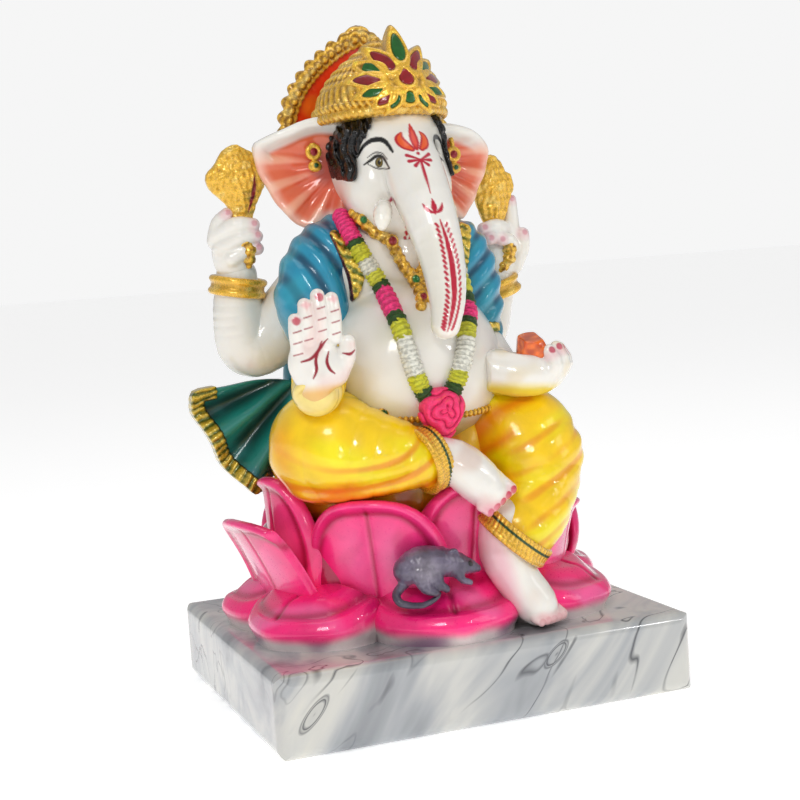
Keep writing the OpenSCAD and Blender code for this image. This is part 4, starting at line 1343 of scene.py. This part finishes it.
def tail_parts(p):
    """Edge distance, sheet distance, pleat, and distance and angle from the gathered end."""
    x, z = p[:, 0], p[:, 2]
    edge = outline(x, z, TAIL_EDGE, 44)
    a = np.degrees(np.arctan2(112 - z, -30 - x))
    far = np.sqrt((x + 30)**2 + (z - 112)**2)
    pleat = np.sin((a - 2) * math.pi / 12.0)
    deep = soft(4, 30, far)
    mid = p[:, 1] - (12 - 3.2 * pleat * deep - 0.05 * (a - 40))
    return edge, mid, pleat, far, a


def tail_field(p):
    edge, mid, _, _, _ = tail_parts(p)
    return smax(edge + 0.5, np.abs(mid) - 2.1, 1.2) * 0.7


def tail_paint(p, n):
    _, _, pleat, _, _ = tail_parts(p)
    # Painted shade: dark green in the pleats' hollows, lighter on their crests.
    c = mix(rgb("07423F"), rgb("1F8A80"), soft(-1.0, 0.6, pleat))
    c = tint(c, "2E9C9C", 0.4 * soft(0.2, 1, ripple(p, 15, 3)))
    return tint(c, "2C5AA0", 0.7 * soft(80, 72, p[:, 2] + 0.25 * (p[:, 0] + 50)))


def shawl_crinkle(p, a):
    """Creases across the shawl's hem, by the angle round the gathered end."""
    return np.sin(a * 1.9 + 0.8 * ripple(p, 5, 3))


def shawl_hem_field(p):
    edge, mid, _, far, a = tail_parts(p)
    band = smax(-edge - 4.6, 34.5 - far, 0.5)
    thick = 2.8 + 0.4 * shawl_crinkle(p, a)
    return smax(smax(edge - 0.2, band, 0.5), np.abs(mid) - thick, 0.8) * 0.7


def shawl_hem_paint(p, n):
    edge, _, _, _, a = tail_parts(p)
    crinkle = shawl_crinkle(p, a) + 0.5 * ripple(p, 2.5, 9)
    # Painted shade: olive in the hollows of the crinkles.
    c = mix(rgb("55661A"), rgb("D9BC45"), soft(-1.2, 0.7, crinkle))
    return tint(c, "101E14", 0.9 * soft(-3.7, -4.3, edge))


def build_clothes():
    for side, name in SIDES:
        sculpt("sleeve_" + name, sleeve_field(side), sleeve_paint(side), CLOTH, 0.45)
    sculpt("sleeve_trim", trim_field, trim_paint, GILT, 0.36, 7)
    sculpt("shawl_tail", tail_field, tail_paint, CLOTH, 0.45, 5)
    sculpt("shawl_hem", shawl_hem_field, shawl_hem_paint, GILT, 0.36, 6)


# ---------------------------------------------------------------- arms and hands

PALM_ARM = [(-33, -12, 117, 9.8), (-40, -28, 109, 8.4), (-45.5, -42, 106.5, 7.2)]
PALM_FINGERS = [[(-40.4, -47.5, 124, 2.7), (-40.2, -48, 130, 2.5), (-40.2, -47.2, 135.2, 2.1)],
                [(-44.4, -47.8, 125, 2.7), (-44.6, -48.4, 131, 2.6), (-44.6, -47.4, 136.4, 2.2)],
                [(-48.4, -47.6, 124, 2.6), (-48.8, -48.2, 129.5, 2.5), (-48.9, -47.6, 134, 2.1)],
                [(-51.6, -47.2, 121, 2.3), (-52.2, -47.6, 126, 2.2), (-52.2, -47.2, 129.8, 1.9)],
                [(-40.5, -46.6, 112.5, 4.0), (-37.2, -48.2, 117.5, 3.0), (-36.3, -48.4, 122, 2.3)]]


def palm_field(p):
    wrist = tube(p, [(-46, -43, 106, 5.6), (-46.2, -45, 111, 5.4)])
    d = smin(ball(p, (-46.4, -46, 116.5), (8.4, 4.2, 8.6)), wrist, 3)
    d = smin(d, ball(p, (-41, -47.5, 114), (4.6, 3.6, 5.2)), 2)
    for rows in PALM_FINGERS:
        d = smin(d, tube(p, rows), 0.9)
    return d


PALM_LINES = [[(-51.6, 117.2, 0.5), (-48.4, 118.2, 0.9), (-45.0, 121.4, 0.9), (-43.0, 123.4, 0.4)],
              [(-44.8, 122.8, 0.4), (-47.2, 118, 0.9), (-47.4, 114.6, 0.9), (-48.6, 112, 0.4)],
              [(-43.0, 119.6, 0.4), (-44.0, 116.8, 0.9), (-43.4, 114.4, 0.9), (-42.0, 113, 0.4)],
              [(-38.8, 118.8, 0.4), (-36.8, 118.4, 0.9), (-35.0, 119.4, 0.4)]]


FINGER_CREASES = (10.4, 6.9, 3.6)


def palm_paint(p, n):
    c = mix(WHITE, rgb("F0DAD4"), 0.8 * soft(-0.3, 1, ripple(p, 12, 3)))
    front = n[:, 1] < 0.25
    for rows in PALM_LINES:
        c = mix(c, CRIMSON, stroke(p, rows) * front)
    for f, rows in enumerate(PALM_FINGERS[:4]):
        x, top = rows[2][0], rows[2][2]
        for drop in FINGER_CREASES:
            dash = stroke(p, [(x - 1.2, top - drop - 0.2, 0.42), (x + 1.2, top - drop + 0.35, 0.42)])
            c = mix(c, CRIMSON, 0.85 * dash * front)
        c = tint(c, "F0A0A8", 0.55 * soft(2.2, 0.4, np.abs(p[:, 2] - top) + 0.8 * np.abs(p[:, 0] - x)))
        if f in (1, 3):
            pad = away(p, (x, -50, top - 0.4), FLAT)
            c = tint(c, "C93A55", 0.8 * soft(1.5, 1.0, pad) * front)
    c = tint(c, "F2B9A8", 0.5 * soft(2.5, 0.5, away(p, (-36, -49, 121))))
    return tint(c, "F0B83A", 0.8 * soft(111, 107, p[:, 2]))


def palm_arm_field(p):
    d, t = tube(p, PALM_ARM, along=True)
    cuff = ring_parts(p, (-45.6, -43.5, 108.5), (-32, -8, 0), 6.4)
    rim = np.sqrt(cuff[0]**2 + cuff[1]**2) - 1.5
    return smin(d - 0.35 * np.sin(t * 30), rim, 1.2)


def palm_arm_paint(p, n):
    _, t = tube(p, PALM_ARM, along=True)
    # Painted shade: darker yellow in the valleys between the sleeve's rings.
    c = mix(rgb("F0A818"), rgb("FFDC28"), soft(-1, 0.3, np.sin(t * 30)))
    return tint(c, "F6E08A", soft(0.8, 0.98, t))


SWEET_ARM = [(21, -13, 114, 9), (20.5, -25, 108.5, 8.2), (20, -33, 106.5, 7.4)]
SWEET_TIPS = [(32.4, -45.6, 111.4), (35.6, -44.4, 112.2), (37.8, -41.6, 111.6), (38.6, -38.2, 110.4)]


def sweet_hand_field(p):
    d = ball(p, (27, -38.5, 106), (12.6, 9, 7.6))
    d = smin(d, tube(p, [(17, -35, 107.5, 7), (22, -37, 107, 6.8)]), 3)
    for x, y, z in SWEET_TIPS:
        finger = [(x - 3, y + 1.6, 104, 3.0), (x + 0.6, y - 0.4, 108.5, 2.8),
                  (x - 0.6, y + 0.6, z + 1.6, 2.2)]
        d = smin(d, tube(p, finger), 1.0)
    return smax(d, -ball(p, (27, -38.5, 117.5), (7.5, 6.5, 6.2)), 1.6)


def sweet_hand_paint(p, n):
    c = mix(WHITE, rgb("EFE6D2"), soft(0, 1, ripple(p, 12, 3)))
    for x, y, z in SWEET_TIPS:
        c = tint(c, "EFA9B4", 0.6 * soft(3.6, 1.4, away(p, (x, y, z))))
        nail = p - np.array((x - 0.4, y - 1.6, z + 2.2), np.float32)
        c = tint(c, "C8365A", 0.85 * soft(1.35, 1.0, length(nail)))
    return tint(c, "F2DC2E", 0.9 * soft(104.5, 100.5, p[:, 2] + 0.1 * (p[:, 0] - 27)))


def sweet_arm_paint(p, n):
    return tint(WHITE, "E2BE3A", soft(109, 103, p[:, 2]))


def sweet_field(p):
    """A faceted lump: planes set round a ball."""
    q = p - np.array((28.2, -39.5, 113.6), np.float32)
    d = length(q) - 6.2
    rng = np.random.RandomState(7)
    for _ in range(16):
        way = rng.normal(size=3)
        way /= np.linalg.norm(way)
        d = smax(d, q @ way.astype(np.float32) - rng.uniform(3.9, 5.0), 0.3)
    return d


REAR = {-1: [(-27, 7, 140, 11), (-41, 13, 124, 11), (-50.5, 14, 119.5, 10.2), (-53.5, 13, 130, 8.6),
             (-53.5, 12, 143, 6.8)],
        1: [(19, 7, 140, 10), (28, 11, 126, 9.5), (34, 13, 118.5, 8.8), (37.6, 12, 127, 7.4),
            (39.8, 11, 136, 6.2)]}
HAND = {-1: (-54.5, 10.5, 151), 1: (40.5, 9.5, 145.5)}


def rear_arm_field(side):
    return lambda p: tube(p, REAR[side], 19)


# Curled fingers and a thumb round each ornament's stem
HAND_FINGERS = {-1: [[(-59.5, 9, 156.5, 3.1), (-54.5, 4.4, 159.6, 2.9), (-49, 3.2, 159.4, 2.3)],
                     [(-59, 8, 152.5, 3.0), (-53, 4, 155.6, 2.7), (-48, 3.6, 155.6, 2.2)],
                     [(-56, 6, 149.0, 2.8), (-51, 5, 151.8, 2.5), (-47.6, 4.8, 151.6, 2.1)],
                     [(-60, 10, 155, 3.0), (-59, 9, 160.5, 2.6), (-56.5, 7, 163.6, 2.0)]],
                1: [[(43, 8, 152.5, 2.8), (37.5, 3.6, 153.8, 2.6), (32.6, 3.4, 153.2, 2.1)],
                    [(42, 7, 149.2, 2.8), (38, 3.4, 150.4, 2.5), (34.6, 3.0, 149.4, 2.0)],
                    [(44, 6, 147, 2.7), (41.6, 3.2, 148.8, 2.4), (38.6, 2.6, 148.8, 1.9)],
                    [(45.6, 9, 147, 3.4), (45.4, 8, 154, 2.7), (45.4, 8, 162.5, 2.2)],
                    [(45.5, 9, 140, 3.6), (48.6, 7, 146.5, 2.8), (48.6, 6, 150.6, 2.2)]]}


def rear_hand_field(side):
    x, y, z = HAND[side]
    def field(p):
        d = ball(p, (x, y, z), (7.0, 5.2, 9.2))
        d = smin(d, tube(p, [(*REAR[side][4][:3], 5.6), (x, y, z - 3, 5.6)], 3), 2)
        for rows in HAND_FINGERS[side]:
            d = smin(d, tube(p, rows), 0.9)
        return d
    return field


def rear_hand_paint(side):
    def paint(p, n):
        c = np.tile(WHITE, (len(p), 1))
        for rows in HAND_FINGERS[side]:
            tip = np.array(rows[2][:3], np.float32)
            c = tint(c, "EDA3B4", 0.45 * soft(3.8, 1.4, length(p - tip)))
            nail = tip + np.array((0, -rows[2][3] * 0.85, 0.5), np.float32)
            c = tint(c, "C9476E", 0.45 * soft(1.3, 0.7, length(p - nail)))
        return c
    return paint


RINGS = [((-53.3, 12.4, 139.6), (4, 9, 0), 8.0), ((39.2, 11.2, 132.6), (4, -16, 0), 7.2)]


def bracelet_field(p):
    total = nowhere(p)
    for centre, turn, radius in RINGS:
        r, h, _ = ring_parts(p, centre, turn, radius)
        band = smax(np.abs(r) - 0.9, np.abs(h) - 2.2, 0.6)
        for lift in (-2.0, 2.0):
            band = smin(band, np.sqrt((r - 0.5)**2 + (h - lift)**2) - 1.2, 0.6)
        total = np.minimum(total, band)
    return total


def bracelet_relief(p):
    total = np.zeros(len(p), np.float32)
    for centre, turn, radius in RINGS:
        r, h, _ = ring_parts(p, centre, turn, radius)
        total = np.where(np.abs(r) < 4, 1.0 - 1.5 * soft(1.4, 0.6, np.abs(h)), total)
    return total


CHAINS = [[(-55, 2.9, 160, 0.8), (-52.8, 4.0, 156, 2.0), (-50.6, 4.4, 151.5, 2.6),
           (-50.6, 6.2, 146.5, 1.8)],
          [(39.2, 2.8, 151, 0.9), (41.6, 3.0, 147.2, 2.3), (41.8, 3.8, 142.6, 2.5), (39, 5.0, 138.6, 1.4)]]


def chains_field(p):
    total = nowhere(p)
    for rows in CHAINS:
        d, t = tube(p, rows, along=True)
        total = np.minimum(total, d + 0.2 - 0.3 * np.sin(t * 30))
    return total


AXE_EDGE = [(-62.4, 176.5), (-59.4, 179.6), (-56.4, 184.0), (-52.0, 186), (-48.5, 184.2), (-45.4, 182.4),
            (-43.2, 178.2), (-42.8, 172.6), (-45.6, 167.4), (-47.8, 162), (-49, 158), (-53, 157.6),
            (-54.6, 161.6), (-56.2, 166.2), (-59.4, 169.4), (-62, 172.4)]
LOTUS_EDGE = [(38.6, 178.6), (35.6, 176.8), (33.4, 173.4), (32.0, 169.6), (31.6, 164), (33.2, 158.4),
              (35.6, 153.6), (40.2, 153.2), (43.0, 157.8), (44.2, 162), (46.4, 166.8), (45.6, 171.2),
              (43.4, 172.8), (41.6, 176.4)]


def ornament_relief(p):
    swirl = np.sin(away(p, (-50, 7, 174), (1, 0.2, 1)) * 2.6)
    return 0.45 * swirl + 0.75 * ripple(p, 1.9, 21)


def ornament_field(edge_rows, middle):
    def field(p):
        edge = outline(p[:, 0], p[:, 2], edge_rows, 40)
        thick = 1.6 + 2.2 * soft(0, -7, edge)
        return smax(edge, np.abs(p[:, 1] - middle) - thick - 0.34 * ornament_relief(p), 1.4) * 0.75
    return field


ornament_paint = gilded(ornament_relief, -2.2, -0.1)


def axe_paint(p, n):
    c = ornament_paint(p, n)
    stripe = stroke(p, [(-46.9, 175.2, 0.5), (-47.4, 170, 1.5), (-49.6, 163.8, 0.4)])
    return tint(c, "8E1022", stripe * (n[:, 1] < 0.3))


def build_arms():
    sculpt("palm_arm", palm_arm_field, palm_arm_paint, CLOTH, 0.4)
    sculpt("palm_hand", palm_field, palm_paint, SKIN, 0.26)
    sculpt("sweet_arm", lambda p: tube(p, SWEET_ARM), sweet_arm_paint, SKIN, 0.45)
    sculpt("sweet_hand", sweet_hand_field, sweet_hand_paint, SKIN, 0.3)
    sweet_paint = shaded("F57A1E", "D2520C", lambda p: ripple(p, 3, 4))
    sculpt("sweet", sweet_field, sweet_paint, GEM, 0.25)
    for side, name in SIDES:
        sculpt("rear_arm_" + name, rear_arm_field(side), skin_paint, SKIN, 0.45)
        sculpt("rear_hand_" + name, rear_hand_field(side), rear_hand_paint(side), SKIN, 0.3)
    sculpt("bracelets", bracelet_field, gilded(bracelet_relief, -1.6, 0.4), GILT, 0.32)
    sculpt("hand_chains", chains_field, gilded(lambda p: ripple(p, 2, 3)), GILT, 0.3, 5)
    sculpt("axe_ornament", ornament_field(AXE_EDGE, 7.5), axe_paint, GILT, 0.32)
    sculpt("lotus_ornament", ornament_field(LOTUS_EDGE, 7.0), ornament_paint, GILT, 0.32)


# ---------------------------------------------------------------- garland, necklace, mouse

STRANDS = [[(-23.2, -11, 160, 2.7), (-23.0, -16, 156, 2.8), (-21.8, -19.5, 151, 2.9),
            (-20.2, -22.3, 146, 2.9),
            (-17.8, -24, 140.8, 2.9), (-16.0, -26.6, 135.5, 2.9), (-15.8, -34, 129, 2.9),
            (-15.4, -39, 123, 2.9),
            (-14.8, -42.2, 116.6, 2.9), (-13.8, -43.6, 110.9, 2.9), (-11.8, -43.6, 105.1, 2.9),
            (-9.2, -43.4, 101, 2.8)],
           [(11, -11, 160, 2.7), (11.4, -14, 155, 2.8), (11.2, -18, 149, 2.9), (11, -22, 143, 2.9),
            (10.6, -27, 136.5, 2.9), (9.4, -34, 128.5, 2.9), (7.9, -37.2, 125, 2.9),
            (5.9, -40.4, 121, 2.9), (3.9, -43, 115.5, 2.9),
            (1.6, -44.3, 110.4, 2.9), (-0.6, -44.4, 105.6, 2.9), (-3.4, -44, 101, 2.8)]]
BANDS = [(0.0, "FF3F8E"), (0.17, "2F5A1C"), (0.205, "D7D436"), (0.28, "EFEDDD"), (0.35, "DDDB4A"),
         (0.41, "31591F"), (0.45, "FF3F8E"), (0.56, "31591F"), (0.60, "D9D83E"), (0.67, "F0EFE3"),
         (0.84, "DAD93C"), (0.91, "32581E"), (1.1, "32581E")]
COILS = 46


def strand_parts(p):
    best = nowhere(p)
    where = np.zeros(len(p), np.float32)
    for rows in STRANDS:
        d, t = tube(p, rows, 34, along=True)
        near = d < best
        where[near] = t[near]
        best = np.minimum(best, d)
    return best, where


def thread_coil(p, t):
    """Turns of thread wound round the strand."""
    return np.sin(t * 2 * math.pi * COILS + 0.9 * (p[:, 0] + p[:, 1]) / 3)


def garland_field(p):
    d, t = strand_parts(p)
    coil = thread_coil(p, t)
    tuft = ripple(p, 1.6, 13)
    band = np.zeros(len(p), np.float32)
    for start, _ in BANDS[1:-1]:
        band += np.exp(-((t - start) / 0.007)**2)
    return d - 0.22 * coil - 0.12 * tuft + 0.3 * band


def garland_paint(p, n):
    _, t = strand_parts(p)
    t = t + 0.006 * ripple(p, 1.8, 5)
    c = np.tile(rgb(BANDS[0][1]), (len(p), 1))
    for start, code in BANDS[1:]:
        c = np.where((t > start)[:, None], rgb(code), c)
    # Painted shade: each band darker between the turns of thread.
    return mix(c * 0.7, c, soft(-0.9, 0.1, thread_coil(p, t) + 0.4 * ripple(p, 1.5, 6)))


ROSE = (-6.0, -44.5, 98.2)


def rose_whorl(q):
    """Crests of the rose's curled petals, from 0 to 1."""
    r = np.sqrt(q[:, 0]**2 + q[:, 2]**2)
    a = np.arctan2(q[:, 2], q[:, 0])
    return np.abs(np.sin(r * 1.15 - a * 0.5 + 0.9 * np.sin(a * 3 + r * 0.4) + 0.5 * ripple(q, 5, 41)))


def rose_field(p):
    q = p - np.array(ROSE, np.float32)
    body = ball(q, (0, 0, 0), (7.4, 5.4, 6.6))
    tip = ball(q, (0, 0.6, -5.4), (4.2, 3.6, 4.4))
    return smin(body, tip, 2.5) - 0.9 * (rose_whorl(q) - 0.5)


def rose_paint(p, n):
    whorl = rose_whorl(p - np.array(ROSE, np.float32))
    # Painted shade: dark red in the folds between the curled petals.
    c = mix(rgb("C40F52"), rgb("FF3F80"), soft(0.02, 0.5, whorl))
    return tint(c, "F4703C", 0.5 * soft(0.8, 1.0, whorl) * soft(0, 0.8, ripple(p, 7, 5)))


NECKLACE = [(-20.6, -15, 161, 1.5), (-18.9, -18, 158.6, 1.9), (-15.1, -19.4, 154.3, 1.9),
            (-10.9, -21.4, 151.2, 1.9), (-9.4, -22.6, 147.6, 1.9), (-7.8, -23.4, 143.6, 1.9),
            (-5.4, -23.8, 140, 2.0), (-4.4, -25.4, 137.2, 2.0),
            (-4.9, -30.8, 133.4, 2.1), (-6.6, -34.2, 130, 1.6)]
NECK_GEMS = [((-18.9, -19.4, 158.5), "1D7430", 1.3), ((-10.9, -23.2, 151.2), "9A1122", 1.5),
             ((-4.9, -25.8, 138.6), "1D7430", 1.4), ((-5.2, -32.6, 133.2), "9A1122", 1.2)]


def necklace_field(p):
    d, t = tube(p, NECKLACE, along=True)
    q = p * np.array((-1, 1, 1), np.float32) + np.array((-7.5, 0, 0), np.float32)
    far, s = tube(q, NECKLACE, along=True)
    t = np.where(far < d, s, t)
    d = np.minimum(d, far) - 0.2 * np.sin(t * 90)
    for centre, _, size in NECK_GEMS:
        d = smin(d, ball(p, centre, (size + 0.9, 1.1, size + 0.7)), 0.4)
        d = smin(d, ball(p, (centre[0], centre[1] - 0.8, centre[2]), (size, 0.9, size)), 0.1)
    return d


def necklace_paint(p, n):
    c = gilded(lambda p: ripple(p, 2.2, 3))(p, n)
    for centre, code, size in NECK_GEMS:
        c = tint(c, code, soft(size + 0.1, size - 0.2, away(p, centre, FLAT)))
    return c


MOUSE = {"body": [(-21.5, -46.5, 49.5, 4.6), (-17.5, -47, 51, 5.6), (-11.5, -48, 51, 4.9),
                  (-7, -48.5, 50, 3.9)],
         "head": [(-7, -48.5, 50, 3.6), (-3, -49.2, 49, 2.7), (0.4, -49.6, 47.8, 1.3)],
         "tail": [(-22, -46, 46, 1.7), (-26.4, -48.5, 43, 1.4), (-26, -51.5, 40.5, 1.2),
                  (-20, -53, 39.4, 1.0),
                  (-15, -52, 40.6, 0.8), (-13.4, -51.5, 42, 0.6)]}
MOUSE_LEGS = [[(-14.5, -50.2, 48, 3.0), (-13.5, -52, 45, 1.8), (-11.5, -53, 43.4, 1.2)],
              [(-18.5, -50, 48.4, 3.3), (-18, -52, 44.4, 1.9), (-15.4, -53.4, 42.8, 1.2)],
              [(-6.5, -50.6, 47.6, 1.9), (-5.4, -51.6, 45.2, 1.2), (-3.2, -52.2, 44.2, 0.9)]]


def mouse_field(p):
    d = smin(tube(p, MOUSE["body"]), tube(p, MOUSE["head"]), 1.5)
    for rows in MOUSE_LEGS:
        d = smin(d, tube(p, rows), 1.2)
    d = smin(d, tube(p, MOUSE["tail"], 22), 0.8)
    hollow = ball(p, (-7.3, -51.6, 53.2), (1.2, 0.9, 1.4))
    ear = smax(ball(p, (-7.6, -50.6, 53.2), (1.9, 1.0, 2.1)), -hollow, 0.2)
    d = smin(d, ear, 0.4)
    d = smin(d, ball(p, (-9.6, -46, 53.6), (1.7, 0.9, 1.9)), 0.4)
    eye = ball(p, (-2.4, -51.2, 50.0), 0.75)
    return smin(d, eye, 0.1) + 0.05 * ripple(p, 1.8, 17)


def mouse_paint(p, n):
    c = mix(rgb("5A5268"), rgb("7F778C"), soft(-0.8, 0.9, ripple(p, 9, 17)))
    # Painted highlight: a lighter patch on the front of the body.
    c = tint(c, "A9A2AD", 0.5 * soft(6, 2, away(p, (-17.5, -52.5, 50))))
    # Painted shade: darker low down, underneath the body.
    c = tint(c, "362F40", 0.6 * soft(46, 42, p[:, 2]))
    return tint(c, "08080A", soft(1.1, 0.8, away(p, (-2.4, -51.5, 50.0))))


TUSKS = {-1: [(-14.6, -29, 162.8, 2.0), (-16.8, -33.4, 160.8, 2.9), (-18.2, -36.2, 158.4, 2.8),
              (-18.9, -37.4, 156.2, 1.7)],
         1: [(4.0, -29, 163.4, 2.0), (5.2, -31.5, 161.8, 2.2), (5.8, -33.4, 160, 2.0),
             (6.0, -34, 158.8, 1.5)]}


def tusk_field(p):
    return np.minimum(tube(p, TUSKS[-1]), tube(p, TUSKS[1]))


def build_dressing():
    sculpt("tusks", tusk_field, plain("F6F2E8"), SKIN, 0.3)
    hair_paint = shaded("0E0E12", "050506", lambda p: ripple(p, 3, 2))
    sculpt("hair", hair_field, hair_paint, HAIR, 0.35)
    for side, name in SIDES:
        sculpt("ear_" + name, ear_field(side), ear_paint(side), SKIN, 0.4, 6)
    sculpt("earrings", earring_field, earring_paint, GILT, 0.3, 6)
    sculpt("garland", garland_field, garland_paint, THREAD, 0.3, 5)
    sculpt("rose", rose_field, rose_paint, THREAD, 0.28)
    sculpt("necklace", necklace_field, necklace_paint, GILT, 0.3, 6)
    sculpt("mouse", mouse_field, mouse_paint, FUR, 0.28, 5)


# ---------------------------------------------------------------- stage

FLOOR_REACH = 6
LIGHTS = [("key", (-0.55, -0.75, 0.75), (0.26, 0.26), 1.9),
          ("fill", (0.75, -0.6, 0.45), (0.25, 0.5), 0.65),
          ("top", (0.0, 0.1, 0.95), (0.6, 0.6), 1.1),
          ("spark_left", (-0.3, -0.62, 0.5), (0.04, 0.04), 0.42),
          ("spark_right", (0.4, -0.6, 0.42), (0.04, 0.04), 0.32),
          ("spark_low", (-0.12, -0.75, 0.2), (0.03, 0.03), 0.1)]
LIT_PLACE = (0, 0, 0.11)
WORLD_LIGHT = 0.46
WORLD_SEEN = 0.93
CAMERA_TURN = (-20, 5.7, -3.9)
CAMERA_AIM = (-3.3, 0, 97.6)
CAMERA_AWAY = 540.9


def build_stage():
    r = FLOOR_REACH
    floor_mesh = bpy.data.meshes.new("floor")
    floor_mesh.from_pydata([(-r, -r, 0), (r, -r, 0), (r, r, 0), (-r, r, 0)], [], [(0, 1, 2, 3)])
    floor = bpy.data.objects.new("floor", floor_mesh)
    bpy.context.scene.collection.objects.link(floor)
    mat = bpy.data.materials.new("pale_floor")
    mat.use_nodes = True
    tree = mat.node_tree
    shader = tree.nodes["Principled BSDF"]
    coords = wired(tree, "ShaderNodeTexCoord").outputs["Object"]
    tree.links.new(ranged(tree, noise_node(tree, coords, 3), 0.55, 0.65), shader.inputs["Roughness"])
    shader.inputs["Base Color"].default_value = (0.86, 0.86, 0.86, 1)
    shader.inputs["Emission Color"].default_value = (1, 1, 1, 1)
    shader.inputs["Emission Strength"].default_value = 0.5
    floor.data.materials.append(mat)


def add_light(name, place, size, power):
    """White soft light aimed at the idol's middle."""
    light = bpy.data.lights.new(name, "AREA")
    light.shape = "RECTANGLE"
    light.size, light.size_y = size
    light.energy = power
    obj = bpy.data.objects.new(name, light)
    bpy.context.scene.collection.objects.link(obj)
    obj.location = place
    obj.rotation_euler = (Vector(LIT_PLACE) - Vector(place)).to_track_quat("-Z", "Y").to_euler()


def build_lights():
    """Studio lights and an even white world, which the camera sees brighter than it lights."""
    for light in LIGHTS:
        add_light(*light)
    world = bpy.data.worlds.new("studio")
    bpy.context.scene.world = world
    world.use_nodes = True
    tree = world.node_tree
    background = tree.nodes["Background"]
    background.inputs[0].default_value = (1, 1, 1, 1)
    seen = wired(tree, "ShaderNodeLightPath")
    strength = ranged(tree, seen.outputs["Is Camera Ray"], WORLD_LIGHT, WORLD_SEEN, 0.0, 1.0)
    tree.links.new(strength, background.inputs[1])
    bpy.context.scene.view_settings.view_transform = "Standard"
    bpy.context.scene.view_settings.gamma = 0.88


def build_camera():
    """Looks at the idol from its left front, a little above, rolled slightly."""
    az, el, roll = (math.radians(v) for v in CAMERA_TURN)
    back = Vector((math.sin(az) * math.cos(el), -math.cos(az) * math.cos(el), math.sin(el)))
    right = Vector((0, 0, 1)).cross(back).normalized()
    up = back.cross(right)
    side = right * math.cos(roll) + up * math.sin(roll)
    up = back.cross(side)
    target = Vector(ORIGIN) + Vector(CAMERA_AIM) * UNIT
    camera = bpy.data.objects.new("camera", bpy.data.cameras.new("camera"))
    camera.data.lens, camera.data.sensor_width = 72, 36
    bpy.context.scene.collection.objects.link(camera)
    place = target + back * CAMERA_AWAY * UNIT
    turn = Matrix((side, up, back)).transposed()
    camera.matrix_world = Matrix.Translation(place) @ turn.to_4x4()
    camera.data.clip_start = 0.01
    bpy.context.scene.camera = camera


build_slab()
build_lotus()
build_body()
build_head()
build_crown()
build_clothes()
build_arms()
build_dressing()
build_stage()
build_lights()
build_camera()
